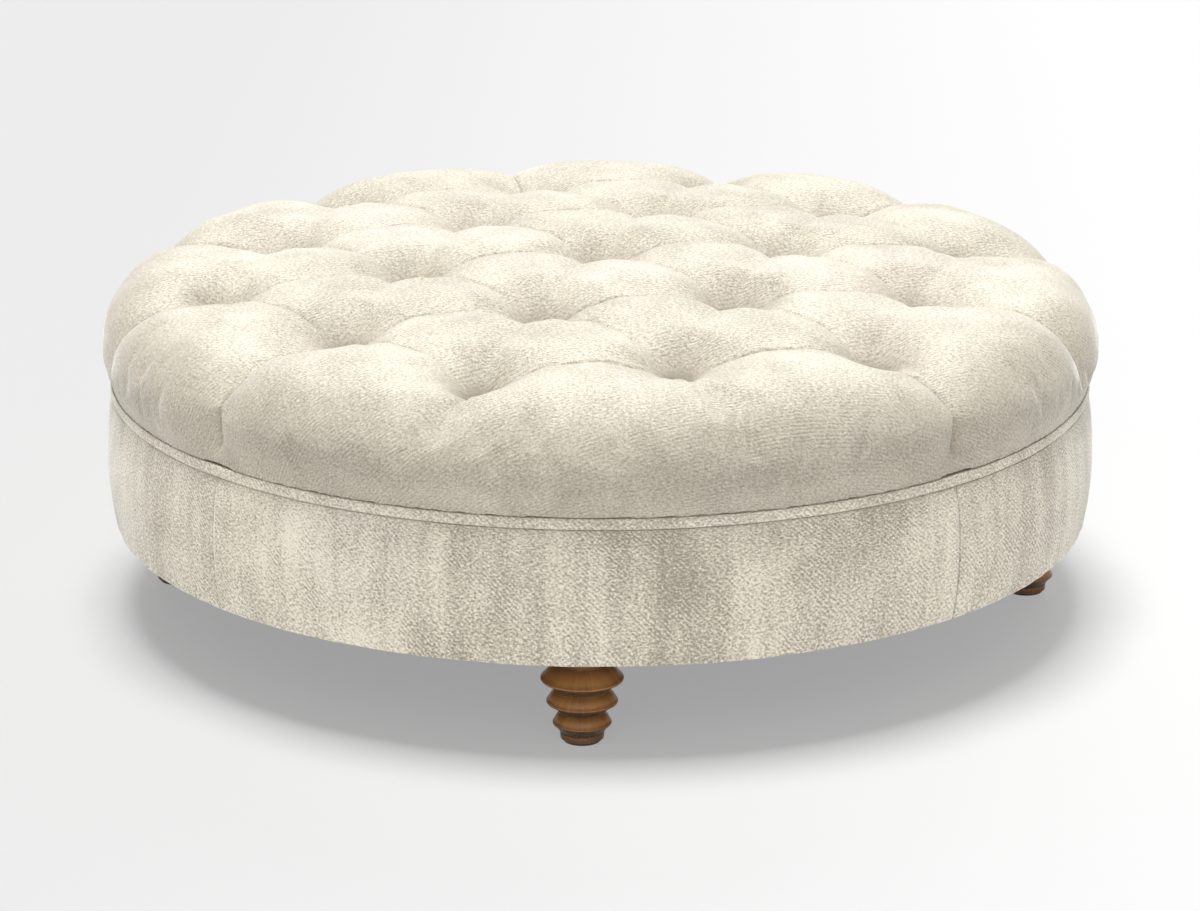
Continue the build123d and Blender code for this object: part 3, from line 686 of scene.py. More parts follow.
def seat_hollows(places, shape, outline):
    """How far the cloth is drawn in at each place, by its tufts and by the valleys between the pillows."""
    reach = math.sqrt(shape.pillow_radius ** 2 - (shape.pillow_radius - shape.depth) ** 2)
    centre = shape.tuft_flat + reach
    nearest = np.full(len(places), 1.0)
    for tuft in tuft_lattice(shape).values():
        nearest = np.minimum(nearest, np.hypot(*(places - tuft).T))
    inside = np.clip(centre - nearest, 0, reach)
    dimple = shape.pillow_radius - np.sqrt(shape.pillow_radius ** 2 - inside ** 2)
    valley = np.zeros(len(places))
    lost_share = 0.85
    slack_power = 0.8
    for pleat in seat_pleats(shape, outline):
        share, across, beyond = pleat.beside(places)
        distance = np.hypot(across, beyond)
        drawn = pleat.depth * np.clip(1 - distance / pleat.reach, 0, 1) ** 2
        if pleat.fade:
            drawn = drawn * (1 - lost_share * pleat.faded(share))
        valley = np.maximum(valley, drawn)
    slack = 1 - dimple / shape.depth
    return dimple, valley * slack ** slack_power, nearest


def swell_cloth(piece, pinned, shape):
    """Puff the closed mesh up by cloth simulation, with the pinned points held and the rest capped."""
    last_frame = 20
    before = positions(piece.data)
    group = piece.vertex_groups.new(name="held")
    group.add([int(index) for index in np.nonzero(pinned)[0]], 1.0, "REPLACE")
    modifier = piece.modifiers.new("puffing", "CLOTH")
    cloth = modifier.settings
    cloth.quality = 5
    cloth.mass = 0.4
    cloth.tension_stiffness = 12
    cloth.compression_stiffness = 12
    cloth.shear_stiffness = 4
    cloth.bending_stiffness = 0.6
    cloth.use_pressure = True
    cloth.uniform_pressure_force = 4
    cloth.shrink_min = -0.03
    cloth.vertex_group_mass = "held"
    cloth.effector_weights.gravity = 0
    modifier.collision_settings.use_collision = False
    modifier.point_cache.frame_start = 1
    modifier.point_cache.frame_end = last_frame
    scene = bpy.context.scene
    for number in range(1, last_frame + 1):
        scene.frame_set(number)
    apply_modifiers(piece)
    scene.frame_set(1)
    move = positions(piece.data) - before
    distance = np.linalg.norm(move, axis=1, keepdims=True)
    move = move * np.minimum(1, shape.swell / np.maximum(distance, 1e-9))
    set_positions(piece.data, before + move)


class FoldPress:
    """Draws the seat's mesh on to each pleat's line, and presses the pleat's groove and lip into it."""

    past_end = 0.002
    end_calm = 0.010
    end_full = 0.045
    steady_share = 0.62
    waning_share = 0.38
    next_shift = 0.37
    snap_reach = 0.0016
    snap_strength = 0.3
    seam_reach = 0.030
    seam_hold = 0.004
    seam_tuck = 0.0010
    seam_valley_share = 0.15
    # Painted shade: how dark the fold lines, the tufts' rims and bowls and the side are drawn, and how far
    # each shade spreads
    fold_shade = 0.5
    rim_shade = 0.5
    rim_width = 0.007
    bowl_shade = 0.62
    bowl_width = 0.047
    side_shade = 0.47
    side_before = 0.02
    side_after = 0.07

    def __init__(self, mesh, shape, outline):
        self.mesh = mesh
        self.shape = shape
        self.outline = outline
        self.flat, self.top = read_cloth_place(mesh)
        self.lengths = np.clip(np.hypot(*self.flat.T), 1e-6, outline.length)
        self.angles = np.arctan2(self.flat[:, 1], self.flat[:, 0])
        self.radii, self.heights, lean = outline.at(self.lengths)
        cos = np.cos(self.angles)
        sin = np.sin(self.angles)
        self.outward = np.stack([np.cos(lean) * cos, np.cos(lean) * sin, np.sin(lean)], 1)
        self.down = np.stack([np.sin(lean) * cos, np.sin(lean) * sin, -np.cos(lean)], 1)
        self.round = np.stack([-sin, cos, np.zeros(len(sin))], 1)

    def strength_along(self, number, pleat, share, beyond):
        """How strongly a pleat is pressed along its length: fading to its end, or else waxing and waning."""
        from_tuft = (np.minimum(share, 1 - share) if pleat.between_tufts else share) * pleat.length
        strength = smooth_step(from_tuft, self.end_calm, self.end_full) * (beyond < self.past_end) * self.top
        if pleat.fade:
            return strength * (1 - pleat.faded(share))
        wave = np.cos(2 * math.pi * (share + self.next_shift * number))
        return strength * (self.steady_share + self.waning_share * wave)

    def towards(self, side):
        """Where a step to the side on the flat cloth leads on the seat."""
        radial = side[0] * np.cos(self.angles) + side[1] * np.sin(self.angles)
        sideways = side[0] * -np.sin(self.angles) + side[1] * np.cos(self.angles)
        return radial[:, None] * self.down + (sideways * self.radii / self.lengths)[:, None] * self.round

    def run(self):
        """Press every pleat, then settle the side's lowest stretch and note the shade."""
        places = positions(self.mesh)
        press = np.zeros(len(places))
        shade = np.zeros(len(places))
        snap = np.zeros_like(places)
        for number, pleat in enumerate(seat_pleats(self.shape, self.outline)):
            if not pleat.fold:
                continue
            share, across, beyond = pleat.beside(self.flat)
            strength = self.strength_along(number, pleat, share, beyond)
            groove = pleat.hills(across, pleat.grooves)
            press = press + pleat.fold * strength * (groove - pleat.hills(across, pleat.lips))
            shade = np.maximum(shade, strength * groove)
            near = (np.abs(across) < self.snap_reach) & (strength > self.snap_strength)
            snap = snap - np.where(near, across, 0)[:, None] * self.towards(pleat.side)
        places = places + snap - self.outward * press[:, None]
        dimple, valley, nearest = seat_hollows(self.flat, self.shape, self.outline)
        set_positions(self.mesh, self.seated_at_seam(places, dimple, valley))
        self.write_shade(shade, nearest)

    def seated_at_seam(self, places, dimple, valley):
        """The lowest stretch of the side brought back to the plain outline, and its edge set on the welt."""
        seam = self.outline.length
        ring = np.stack([self.radii * np.cos(self.angles), self.radii * np.sin(self.angles), self.heights], 1)
        seated = ring - self.outward * (dimple + valley * self.seam_valley_share)[:, None]
        low = smooth_step(self.lengths, seam - self.seam_reach, seam - self.seam_hold) * self.top
        places = places * (1 - low)[:, None] + seated * low[:, None]
        places[:, 2] -= self.seam_tuck * smooth_step(self.lengths, seam - self.seam_hold, seam) * self.top
        return places

    def write_shade(self, shade, nearest):
        """Note the painted shade: in the fold lines, about the tufts and on the side."""
        cone = self.outline.cone_length
        rim = hill(nearest, self.shape.tuft_flat, self.rim_width) * self.rim_shade
        close = rim + hill(nearest, 0.0, self.bowl_width) * self.bowl_shade
        # Painted shade on the seat's side, from the end of the crown's slope downwards
        side_painted_shade = self.side_shade * smooth_step(self.lengths, cone - self.side_before, cone + self.side_after)
        hollow = (close + side_painted_shade * (1 - np.clip(close, 0, 1))) * self.top
        write_numbers(self.mesh, "fold_shade", np.clip(np.maximum(shade * self.fold_shade, hollow), 0, 1))


def refine_near_pleats(piece, shape, outline):
    """Split the mesh once more beside the pleats, where it has to carry a fine fold."""
    beside = 0.0095
    from_tuft = 0.008
    past_end = FoldPress.past_end
    flat, top = read_cloth_place(piece.data)
    close = np.zeros(len(flat), bool)
    for pleat in seat_pleats(shape, outline):
        if pleat.fold:
            share, across, beyond = pleat.beside(flat)
            close |= (np.abs(across) < beside) & (beyond < past_end) & (share * pleat.length > from_tuft)
    close &= top
    bm = bmesh.new()
    bm.from_mesh(piece.data)
    edges = [edge for edge in bm.edges if close[edge.verts[0].index] and close[edge.verts[1].index]]
    bmesh.ops.subdivide_edges(bm, edges=edges, cuts=1, use_grid_fill=True)
    bm.to_mesh(piece.data)
    bm.free()


class OTTOMAN_OT_seat(bpy.types.Operator):
    """Make the tufted seat cover over its wadding"""
    bl_idname = "ottoman.make_seat"
    bl_label = "Tufted seat"

    first_ring = 0.02
    crown_rings = 26
    shoulder_rings = 34
    spokes = 160
    underside_lift = 0.0003
    underside_height = 0.0035
    underside_margin = 0.002
    closed_height = 0.0012
    closed_margin = 0.03
    tuft_hold = 0.017
    seam_hold = 0.006
    seam_calm = 0.03
    tuft_calm = 0.015
    tuft_free = 0.06
    # Scale, seed and height of the filling's lumps
    lumps = ((9.0, 3, 0.0022), (24.0, 5, 0.0008))

    def execute(self, context):
        shape = context.scene.ottoman_seat
        outline = CrownOutline(shape)
        crown = np.linspace(self.first_ring, outline.cone_length, self.crown_rings)
        shoulder = np.linspace(outline.cone_length, outline.length, self.shoulder_rings)[1:]
        radii, heights, lean = outline.at(np.concatenate([[0.0], crown, shoulder]))
        points = list(zip(radii, heights))
        points.append((0.0, deck_top + self.underside_lift))
        piece = new_object("tufted_seat", turned_mesh(points, self.spokes))
        remesh = piece.modifiers.new("even", "REMESH")
        remesh.mode = "VOXEL"
        remesh.voxel_size = shape.grain
        apply_modifiers(piece)
        self.shape_crown(piece.data, shape, outline)
        swell_cloth(piece, self.pinned(piece.data, shape, outline), shape)
        finer = piece.modifiers.new("finer", "SUBSURF")
        finer.levels = 1
        finer.render_levels = 1
        apply_modifiers(piece)
        refine_near_pleats(piece, shape, outline)
        FoldPress(piece.data, shape, outline).run()
        self.close_underside(piece.data)
        write_weave(piece.data, read_cloth_place(piece.data)[0])
        finish_piece(piece, "seat_velvet", "seat_cover", "seat_wadding", "seat_foam")
        return {"FINISHED"}

    def pinned(self, mesh, shape, outline):
        """The points held while the seat is puffed up: the underside, the tufts' bottoms and the seam."""
        flat, top = read_cloth_place(mesh)
        nearest = seat_hollows(flat, shape, outline)[2]
        return ~top | (nearest < self.tuft_hold) | (np.hypot(*flat.T) > outline.length - self.seam_hold)

    def shape_crown(self, mesh, shape, outline):
        """Draw the plain crown in at its tufts and between its pillows, and note each point's cloth place."""
        places = positions(mesh)
        radii, angles = polar(places)
        under = places[:, 2] < deck_top + self.underside_height
        under &= radii < outline.seam_radius - self.underside_margin
        lengths = np.clip(outline.length_of(radii, places[:, 2]), 0, outline.length)
        radii, heights, lean = outline.at(lengths)
        flat = np.stack([lengths * np.cos(angles), lengths * np.sin(angles)], 1)
        dimple, valley, nearest = seat_hollows(flat, shape, outline)
        from_seam = smooth_step(lengths, outline.length, outline.length - self.seam_calm)
        free = from_seam * smooth_step(nearest, self.tuft_calm, self.tuft_free)
        drawn = dimple + valley - (shape.rise + unevenness(places, self.lumps)) * free
        radii = radii - drawn * np.cos(lean)
        heights = heights - drawn * np.sin(lean)
        moved = np.stack([radii * np.cos(angles), radii * np.sin(angles), heights], 1)
        moved[under] = places[under]
        moved[under, 2] = deck_top + self.underside_lift
        set_positions(mesh, moved)
        marks = np.concatenate([flat, np.where(under, 0.0, 1.0)[:, None]], 1)
        write_vectors(mesh, "cloth_place", marks)

    def close_underside(self, mesh):
        """Let one face close the hidden underside, which lies on the deck."""
        bm = bmesh.new()
        bm.from_mesh(mesh)
        level = deck_top + self.closed_height
        inner = seat_radius - self.closed_margin
        faces = [face for face in bm.faces
                 if all(vert.co.z < level and math.hypot(vert.co.x, vert.co.y) < inner
                        for vert in face.verts)]
        bmesh.ops.delete(bm, geom=faces, context="FACES")
        rim = [edge for edge in bm.edges if edge.is_boundary]
        bmesh.ops.contextual_create(bm, geom=rim)
        bmesh.ops.recalc_face_normals(bm, faces=bm.faces)
        bm.to_mesh(mesh)
        bm.free()


class OTTOMAN_OT_hem(bpy.types.Operator):
    """Make the cover's collar and hem, which wrap the edge of the deck"""
    bl_idname = "ottoman.make_hem"
    bl_label = "Cover hem"

    deck_gap = 0.0003
    bend = 0.002
    bend_inset = 0.0005
    lap = 0.040
    longest_edge = 0.025
    thickness_share = 0.9
    spokes = 180

    def execute(self, context):
        inner = deck_high.x + self.deck_gap
        outer = inner + fabric_thickness
        bottom = cover_low.z
        points = [(outer, deck_top - self.deck_gap), (outer, bottom + self.bend)]
        points += arc_points((inner - self.bend_inset, bottom + self.bend), self.bend, 0, -90, 4)
        points.append((inner - self.lap, bottom))
        bm = turned_mesh(points, self.spokes)
        long_edges = [edge for edge in bm.edges if edge.calc_length() > self.longest_edge]
        bmesh.ops.subdivide_edges(bm, edges=long_edges, cuts=2)
        bmesh.ops.solidify(bm, geom=bm.faces, thickness=-fabric_thickness * self.thickness_share)
        bmesh.ops.recalc_face_normals(bm, faces=bm.faces)
        piece = new_object("cover_hem", bm)
        write_round_weave(piece.data, inner)
        write_numbers(piece.data, "fold_shade", np.zeros(len(piece.data.vertices)))
        finish_piece(piece, "seat_velvet")
        return {"FINISHED"}


class OTTOMAN_OT_buttons(bpy.types.Operator):
    """Make the covered buttons at the bottoms of the tufts"""
    bl_idname = "ottoman.make_buttons"
    bl_label = "Covered buttons"

    radius = 0.012
    sunk = 0.0002
    spokes = 40
    gathers = 14
    gather_share = 0.55
    gather_depth = 0.00022
    shade = 0.25
    # Outline of the domed button: share of its radius, and height
    dome = ((0.0, 0.0), (0.8, 0.0), (0.97, 0.0009), (1.0, 0.0021), (0.96, 0.0036), (0.82, 0.0050),
            (0.58, 0.0060), (0.3, 0.0065), (0.0, 0.0066))

    def execute(self, context):
        shape = context.scene.ottoman_seat
        outline = CrownOutline(shape)
        joined = bmesh.new()
        for tuft in tuft_lattice(shape).values():
            button = self.button()
            button.transform(self.place(shape, outline, tuft))
            part = bpy.data.meshes.new("button")
            button.to_mesh(part)
            button.free()
            joined.from_mesh(part)
            bpy.data.meshes.remove(part)
        piece = new_object("covered_buttons", joined)
        places = positions(piece.data)
        write_weave(piece.data, places)
        write_numbers(piece.data, "fold_shade", np.full(len(places), self.shade))
        finish_piece(piece, "button_velvet", "tuft_buttons")
        return {"FINISHED"}

    def button(self):
        """One button at the origin, with its cloth gathered round the edge."""
        bm = turned_mesh([(self.radius * share, height) for share, height in self.dome], self.spokes)
        for vert in bm.verts:
            turn = math.atan2(vert.co.y, vert.co.x)
            inner = self.radius * self.gather_share
            edge = smooth_step(math.hypot(vert.co.x, vert.co.y), inner, self.radius)
            vert.co.z += self.gather_depth * float(edge) * math.sin(self.gathers * turn)
        return bm

    def place(self, shape, outline, tuft):
        """The place and turn of the button that draws this tuft in."""
        radii, heights, lean = outline.at(np.array([max(np.linalg.norm(tuft), 1e-6)]))
        angle = math.atan2(tuft[1], tuft[0])
        outward = Vector((math.cos(lean[0]) * math.cos(angle), math.cos(lean[0]) * math.sin(angle),
                          math.sin(lean[0])))
        seat = Vector((radii[0] * math.cos(angle), radii[0] * math.sin(angle), heights[0]))
        seat = seat - outward * (shape.depth - self.sunk)
        return Matrix.Translation(seat) @ outward.to_track_quat("Z", "X").to_matrix().to_4x4()


class OTTOMAN_OT_welt(bpy.types.Operator):
    """Make the welt band between the seat and the side"""
    bl_idname = "ottoman.make_welt"
    bl_label = "Welt band"

    overlap = 0.0011
    depth = 0.007
    ease = 0.0022
    lip = 0.0010
    swell = 0.0004
    swell_shares = (0.35, 0.5, 0.65)
    spokes = 360
    shaded = 0.0024
    shade = 0.5
    loop_share = 0.55
    # Scale, seed and height of the band's waves
    waves = ((16.0, 2, 0.00035), (70.0, 4, 0.00018))

    def execute(self, context):
        low = welt_low.z
        high = welt_high.z + self.overlap
        outer = welt_high.x
        inner = outer - self.depth + self.ease
        points = arc_points((outer - self.ease, low + self.ease), self.ease, -90, 0, 4)
        points += [(outer + self.swell, low + (high - low) * share) for share in self.swell_shares]
        points += arc_points((outer - self.lip, high - self.lip), self.lip, 0, 90, 4)
        points += arc_points((inner, high - self.ease), self.ease, 90, 180, 3)
        points += arc_points((inner, low + self.ease), self.ease, 180, 270, 3)
        piece = new_object("welt_band", turned_mesh(points + [points[0]], self.spokes))
        places = positions(piece.data)
        ring = level_directions(polar(places)[1])
        places = places + ring * unevenness(ring * self.loop_share, self.waves)[:, None]
        set_positions(piece.data, places)
        shade = np.clip(1 - (places[:, 2] - low) / self.shaded, 0, 1) * self.shade
        write_numbers(piece.data, "fold_shade", shade)
        write_round_weave(piece.data, outer)
        finish_piece(piece, "welt_velvet", "welt_cover")
        return {"FINISHED"}


class OTTOMAN_OT_border(bpy.types.Operator):
    """Make the four upholstered side panels, seamed between the feet"""
    bl_idname = "ottoman.make_border"
    bl_label = "Side panels"

    top_edge = 0.002
    tack_inset = 0.0128
    under_inset = 0.025
    panel_turn = math.pi / 2
    spokes = 210
    # Radii between which a point comes to lie on the outer face
    face_start = 0.535
    face_full = 0.541
    seam_width = 0.0024
    ridge_height = 0.0005
    ridge_place = 0.0075
    ridge_width = 0.0028
    seam_calm = 0.02
    seam_shaded = 0.0016
    seam_shade = 0.12
    top_shaded = 0.0035
    top_shade = 0.5
    # The padding's broad and fine waves, and the puckers along the lower fold
    broad_scale = 11.0
    upright_share = 0.45
    fine_scale = 34.0
    fine_share = 0.3
    pucker_scale = 46.0
    pucker_height = 0.0012
    pucker_reach = 0.014

    def execute(self, context):
        shape = context.scene.ottoman_border
        for index in range(4):
            self.make_panel(shape, index)
        return {"FINISHED"}

    def outline(self, shape):
        """From the tacked top edge over the barrel, round the lower fold and in to the hem."""
        middle = (border_top + border_bottom) / 2
        centre = drum_radius - shape.barrel
        top_angle = math.degrees(math.asin((border_top - self.top_edge - middle) / shape.barrel))
        low_angle = math.degrees(math.asin((border_bottom + shape.fold - middle) / shape.barrel))
        side = arc_points((centre, middle), shape.barrel, top_angle, low_angle, 22)
        top = (side[0][0] - self.top_edge, border_top - self.top_edge)
        corner = (side[-1][0] - shape.fold, border_bottom + shape.fold)
        points = [(drum_radius - self.tack_inset, border_top)]
        points += arc_points(top, self.top_edge, 80, 20, 2) + side
        points += arc_points(corner, shape.fold, -12, -90, 6)
        points += [(drum_radius - self.under_inset, border_bottom), (shape.hem, border_bottom)]
        return points

    def make_panel(self, shape, index):
        start = math.radians(45 + 90 * index) + shape.slit
        turn = self.panel_turn - 2 * shape.slit
        bm = turned_mesh(self.outline(shape), self.spokes, turn, start)
        piece = new_object("side_panel_%d" % (index + 1), bm)
        mesh = piece.data
        places = positions(mesh)
        radii, angles = polar(places)
        ring = level_directions(angles)
        along = (angles - start) % (2 * math.pi)
        gap = np.abs(np.minimum(along, turn - along)) * drum_radius
        face = smooth_step(radii, self.face_start, self.face_full)
        seam = shape.seam * hill(gap, 0.0, self.seam_width)
        seam = seam - self.ridge_height * hill(gap, self.ridge_place, self.ridge_width)
        ripple = self.ripple(shape, ring, places[:, 2]) * np.clip(gap / self.seam_calm, 0, 1)
        places = places - ring * ((seam - ripple) * face)[:, None]
        set_positions(mesh, places)
        top_edge = np.clip(1 - (border_top - places[:, 2]) / self.top_shaded, 0, 1)
        shade = np.maximum(hill(gap, 0.0, self.seam_shaded) * self.seam_shade, top_edge * self.top_shade)
        write_numbers(mesh, "fold_shade", shade * face)
        write_round_weave(mesh, drum_radius)
        thicken(piece, fabric_thickness)
        finish_piece(piece, "border_velvet", "border_panel_%d" % (index + 1))

    def ripple(self, shape, ring, heights):
        """The padding's unevenness on the wall."""
        wall = ring * drum_radius
        wall[:, 2] = heights
        upright = wall * np.array((1, 1, self.upright_share))
        ripple = soft_noise(upright, self.broad_scale, 7) * shape.ripple
        ripple = ripple + soft_noise(wall, self.fine_scale, 8) * shape.ripple * self.fine_share
        low = hill(heights, border_bottom, self.pucker_reach)
        return ripple + low * soft_noise(wall, self.pucker_scale, 9) * self.pucker_height


class OTTOMAN_OT_feet(bpy.types.Operator):
    """Turn the four feet"""
    bl_idname = "ottoman.make_feet"
    bl_label = "Turned feet"

    spokes = 96
    base_ease = 0.001
    base_inset = 0.002
    base_swell = 0.0003
    base_drop = 0.0006
    ring_inset = 0.0002
    edge_ease = 0.0012
    edge_half = 0.0014
    edge_height = 0.0015
    edge_angles = (-52, -26, 0, 26, 52)
    hollow = 0.0007
    hollow_shares = (0.0, 0.35, 0.7)
    swell = 0.0013
    swell_lean_share = 0.6
    swell_shares = (0.0, 0.2, 0.4, 0.6, 0.8, 0.94)
    grain_step = 0.3
    # How far the stain and painted shade reach below and above a groove or a ring's edge
    groove_blur = (-0.0012, 0.0004)
    edge_blur = (-0.0008, 0.0004)
    neck_height_blur = 0.003
    neck_radius_blur = 0.004
    neck_shade = 0.8
    base_shade = 0.42

    def execute(self, context):
        shape = context.scene.ottoman_foot
        for side, angle in foot_sides.items():
            turn = math.radians(angle)
            centre = Vector((foot_circle * math.cos(turn), foot_circle * math.sin(turn), 0))
            piece = new_object("turned_foot_" + side, turned_mesh(self.outline(shape), self.spokes))
            places = positions(piece.data)
            grain = level_directions(polar(places)[1]) * shape.base_radius
            grain[:, 0] += self.grain_step * angle
            grain[:, 2] = places[:, 2]
            write_vectors(piece.data, "grain_place", grain)
            write_numbers(piece.data, "groove_shade", self.groove_shade(shape, places))
            piece.data.transform(Matrix.Translation(centre))
            finish_piece(piece, "turned_wood", "foot_" + side)
        return {"FINISHED"}

    def outline(self, shape):
        """Base, three lens-shaped rings with eased edges, and the neck."""
        bottom = foot_box_low.z
        top = foot_box_high.z
        ease = self.base_ease
        points = [(0.0, bottom), (shape.base_radius - self.base_inset, bottom)]
        points += arc_points((shape.base_radius - ease, bottom + ease), ease, -75, 0, 3)
        points.append((shape.base_radius + self.base_swell, shape.base_top - self.base_drop))
        start = (shape.base_radius - self.ring_inset, shape.base_top)
        ends = list(zip(shape.groove_radii, shape.groove_heights))
        ends.append((shape.neck_radius, shape.neck_bottom))
        for radius, height, end in zip(shape.ring_radii, shape.ring_heights, ends):
            points += self.ring(start, (radius, height), end)
            start = end
        points += [(shape.neck_radius, (shape.neck_bottom + top) / 2), (shape.neck_radius, top), (0.0, top)]
        return points

    def ring(self, start, edge, end):
        """From a groove out along the slightly hollow under slope, round the edge and in over a full top."""
        points = []
        inner = edge[0] - self.edge_ease
        low = Vector((inner, edge[1] - self.edge_half))
        high = Vector((inner, edge[1] + self.edge_half))
        base = Vector(start)
        for share in self.hollow_shares:
            lift = self.hollow * math.sin(math.pi * share)
            points.append(tuple(base.lerp(low, share) + Vector((0, lift))))
        points.append(tuple(low))
        for angle in self.edge_angles:
            turn = math.radians(angle)
            height = edge[1] + self.edge_height * math.sin(turn)
            points.append((inner + self.edge_ease * math.cos(turn), height))
        tip = Vector(end)
        for share in self.swell_shares:
            swell = self.swell * math.sin(math.pi * min(1.0, share * 1.05))
            points.append(tuple(high.lerp(tip, share) + Vector((swell * self.swell_lean_share, swell))))
        return points

    def groove_shade(self, shape, places):
        """How dark the wood is drawn: most in the grooves, with stain and painted shade, and on the under
        slopes and at the neck, with painted shade; some painted shade on the base.
        """
        heights = places[:, 2]
        radii = polar(places)[0]
        shade = np.zeros(len(heights))
        grooves = [shape.base_top] + list(shape.groove_heights)
        for groove, edge in zip(grooves, shape.ring_heights):
            over_groove = smooth_step(heights, *(groove + blur for blur in self.groove_blur))
            over_edge = smooth_step(heights, *(edge + blur for blur in self.edge_blur))
            shade = np.maximum(shade, over_groove * (1 - over_edge))
        neck = hill(heights, shape.neck_bottom, self.neck_height_blur)
        neck = neck * hill(radii, shape.neck_radius, self.neck_radius_blur)
        shade = np.maximum(shade, neck * self.neck_shade)
        return np.maximum(shade, self.base_shade * (heights < shape.base_top))


class OTTOMAN_OT_dust_cover(bpy.types.Operator):
    """Make the cambric dust cover under the drum"""
    bl_idname = "ottoman.make_dust_cover"
    bl_label = "Dust cover"

    hole = 0.0243
    inside_share = 1.02
    beside_share = 1.8
    stapled = 0.515
    rings = (0.004, 0.06, 0.12, 0.18, 0.24, 0.30, 0.36, 0.42, 0.45, 0.48, 0.495, 0.508, stapled)
    spokes = 288
    edge = 0.003
    sag = 0.0016
    sag_full = 0.44
    sag_scale = 8.0
    puckers = 24
    pucker_depth = 0.0011
    pucker_place = 0.50
    pucker_width = 0.02
    foot_calm = 0.03
    thickness_share = 0.8

    def execute(self, context):
        radius = dust_high.x
        points = [(ring, dust_high.z) for ring in (0.0, *self.rings, radius - self.edge, radius)]
        bm = turned_mesh(points, self.spokes)
        for centre in self.foot_centres():
            self.cut_hole(bm, Vector((*centre, dust_high.z)))
        piece = new_object("cambric_cover", bm)
        self.let_sag(piece.data)
        thicken(piece, (dust_high.z - dust_low.z) * self.thickness_share)
        finish_piece(piece, "cambric", "dust_cover")
        return {"FINISHED"}

    def foot_centres(self):
        turns = [math.radians(angle) for angle in foot_sides.values()]
        return [(foot_circle * math.cos(turn), foot_circle * math.sin(turn)) for turn in turns]

    def let_sag(self, mesh):
        """Sag the cloth a little inside its staples, and pucker it between them, but not beside the feet."""
        places = positions(mesh)
        radii, angles = polar(places)
        free = smooth_step(radii, self.stapled, self.sag_full)
        pucker = np.cos(angles * self.puckers) * 0.5 + 0.5
        pucker = self.pucker_depth * pucker * hill(radii, self.pucker_place, self.pucker_width)
        sag = self.sag * free + pucker
        sag = sag + np.abs(soft_noise(places, self.sag_scale, 11)) * self.sag * free
        foot_gap = np.full(len(places), 1.0)
        for centre in self.foot_centres():
            gap = np.hypot(*(places[:, :2] - np.array(centre)).T) - self.hole
            foot_gap = np.minimum(foot_gap, gap)
        places[:, 2] -= sag * smooth_step(foot_gap, 0.0, self.foot_calm)
        set_positions(mesh, places)

    def cut_hole(self, bm, centre):
        """Open the cloth round one foot's neck, and draw the opening's edge on to a circle."""
        inside = self.hole * self.inside_share
        beside = self.hole * self.beside_share
        faces = [face for face in bm.faces if (face.calc_center_median() - centre).length < inside]
        bmesh.ops.delete(bm, geom=faces, context="FACES")
        for vert in bm.verts:
            if vert.is_boundary and (vert.co - centre).length < beside:
                away = vert.co - centre
                vert.co = centre + away.normalized() * self.hole


class OTTOMAN_OT_frame_finish(bpy.types.Operator):
    """Give the carried frame, the fastenings and the filling their finishes"""
    bl_idname = "ottoman.finish_frame"
    bl_label = "Frame finishes"

    def execute(self, context):
        slots = {part["node"]: part["material_slot"] for part in frame["record"]["subparts"]}
        for name, node in frame["nodes"].items():
            node.data.materials.clear()
            node.data.materials.append(finishes[slots[name]])
        return {"FINISHED"}


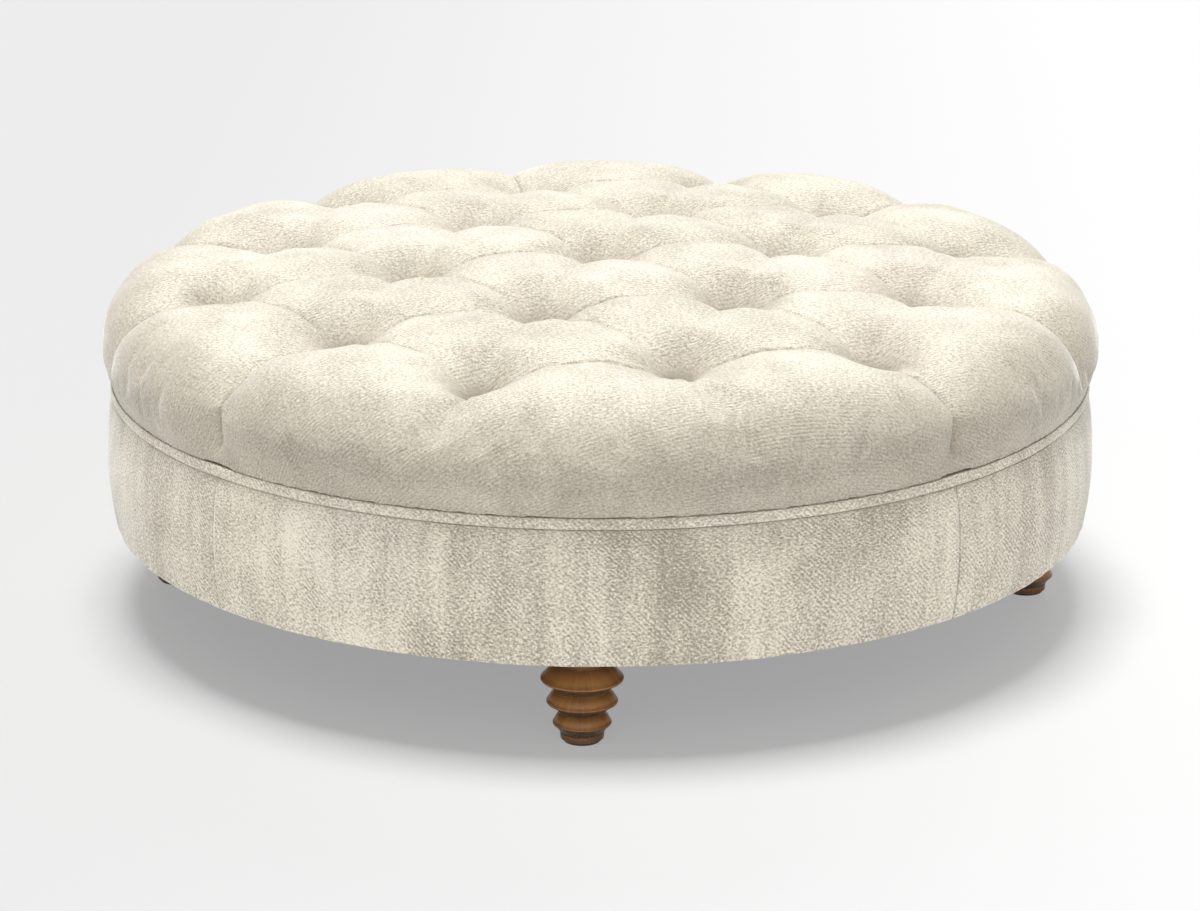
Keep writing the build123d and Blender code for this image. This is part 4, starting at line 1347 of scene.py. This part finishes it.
class OTTOMAN_OT_stage(bpy.types.Operator):
    """Make the floor, the lights and the camera"""
    bl_idname = "ottoman.make_stage"
    bl_label = "Stage"

    # Direction towards each sun, its strength, and the angle that it spans in degrees
    suns = {
        "key": ((-0.05, 0.07, 1.0), 4.05, 24),
        "rim": ((0.05, 1.0, 0.42), 1.0, 50),
        "front_fill": ((0.0, -1.0, 0.45), 0.60, 60),
    }
    camera_lens = 132.54
    camera_place = (0.1807, -4.7300, 1.6631)
    camera_tilt = 72.317
    camera_turn = 2.188
    floor_size = 60
    # The floor's glow and colour both grow paler from the left end to the right: a painted gradient of light
    # across the backdrop
    floor_ends = (-0.7, 0.7)
    floor_glow = (0.322, 0.352)
    floor_painted_gradient_tone = (0.300, 0.370)
    floor_bounce = 0.78
    sky_light = 0.26
    sky_tone = 0.93

    def execute(self, context):
        scene = context.scene
        bm = bmesh.new()
        bmesh.ops.create_grid(bm, x_segments=1, y_segments=1, size=self.floor_size)
        floor = new_object("studio_floor", bm)
        floor.data.materials.append(self.floor_material())
        for name, (towards, strength, angle) in self.suns.items():
            self.add_sun(name, towards, strength, angle)
        self.add_camera(scene)
        scene.view_settings.view_transform = "Standard"
        self.make_world(scene)
        return {"FINISHED"}

    def add_sun(self, name, towards, strength, angle):
        light = bpy.data.lights.new(name, "SUN")
        light.energy = strength
        light.angle = math.radians(angle)
        holder = bpy.data.objects.new(name, light)
        holder.rotation_euler = Vector(towards).to_track_quat("Z", "Y").to_euler()
        bpy.context.scene.collection.objects.link(holder)

    def add_camera(self, scene):
        camera = bpy.data.cameras.new("camera")
        camera.lens = self.camera_lens
        camera.sensor_width = 36
        holder = bpy.data.objects.new("camera", camera)
        holder.location = self.camera_place
        holder.rotation_euler = (math.radians(self.camera_tilt), 0, math.radians(self.camera_turn))
        scene.collection.objects.link(holder)
        scene.camera = holder

    def seen(self, net):
        """1 for rays from the camera, and for those seen by gloss or through glass."""
        path = net.node("ShaderNodeLightPath", output="Is Camera Ray")
        glossy = net.node("ShaderNodeLightPath", output="Is Glossy Ray")
        through = net.node("ShaderNodeLightPath", output="Is Transmission Ray")
        return net.held(path + glossy + through)

    def grey(self, tone):
        return (tone, tone, tone)

    def floor_material(self):
        """Pale floor: a plain diffuse one for the light, and a paler one, kept from black, for the eye, with
        a painted gradient of light from left to right.
        """
        net = new_net("studio_floor")
        across = net.node("ShaderNodeSeparateXYZ", None, {0: net.object_place()}, output="X")
        share = net.spread(across, *self.floor_ends)
        glow = net.blend(share, *map(self.grey, self.floor_glow))
        tone = net.blend(share, *map(self.grey, self.floor_painted_gradient_tone))
        pale = net.node("ShaderNodeBsdfDiffuse", None, {"Color": tone})
        light = net.node("ShaderNodeEmission", None, {"Color": glow, "Strength": 1.0})
        shown = net.node("ShaderNodeAddShader", None, {0: pale, 1: light})
        bounce = net.colour(self.grey(self.floor_bounce))
        plain = net.node("ShaderNodeBsdfDiffuse", None, {"Color": bounce})
        both = net.node("ShaderNodeMixShader", None, {0: self.seen(net), 1: plain, 2: shown})
        net.node("ShaderNodeOutputMaterial", None, {"Surface": both})
        return net.holder

    def make_world(self, scene):
        """Even light from all round, and a paler surrounding for the eye."""
        scene.world = bpy.data.worlds.new("studio")
        net = Net(scene.world)
        white = net.colour(self.grey(1.0))
        lit = net.node("ShaderNodeBackground", None, {"Color": white, "Strength": self.sky_light})
        pale = net.colour(self.grey(self.sky_tone))
        shown = net.node("ShaderNodeBackground", None, {"Color": pale, "Strength": 1.0})
        both = net.node("ShaderNodeMixShader", None, {0: self.seen(net), 1: lit, 2: shown})
        net.node("ShaderNodeOutputWorld", None, {"Surface": both})


class OTTOMAN_PT_panel(bpy.types.Panel):
    """Lists the steps that dress the table"""
    bl_label = "Ottoman"
    bl_idname = "OTTOMAN_PT_panel"
    bl_space_type = "VIEW_3D"
    bl_region_type = "UI"
    bl_category = "Ottoman"

    def draw(self, context):
        for step in steps:
            self.layout.operator(step.bl_idname)


steps = (OTTOMAN_OT_frame_finish, OTTOMAN_OT_seat, OTTOMAN_OT_hem, OTTOMAN_OT_buttons, OTTOMAN_OT_welt,
         OTTOMAN_OT_border, OTTOMAN_OT_feet, OTTOMAN_OT_dust_cover, OTTOMAN_OT_stage)
groups = {"ottoman_seat": SeatShape, "ottoman_border": BorderShape, "ottoman_foot": FootShape,
          "ottoman_finish": Finish}
finishes = {}


def register():
    for name, group in groups.items():
        bpy.utils.register_class(group)
        setattr(bpy.types.Scene, name, bpy.props.PointerProperty(type=group))
    for step in steps:
        bpy.utils.register_class(step)
    bpy.utils.register_class(OTTOMAN_PT_panel)


def unregister():
    bpy.utils.unregister_class(OTTOMAN_PT_panel)
    for step in reversed(steps):
        bpy.utils.unregister_class(step)
    for name, group in groups.items():
        delattr(bpy.types.Scene, name)
        bpy.utils.unregister_class(group)


def main():
    register()
    finishes.update(make_finishes())
    for step in steps:
        family, call = step.bl_idname.split(".")
        getattr(getattr(bpy.ops, family), call)()


if __name__ == "__main__":
    main()
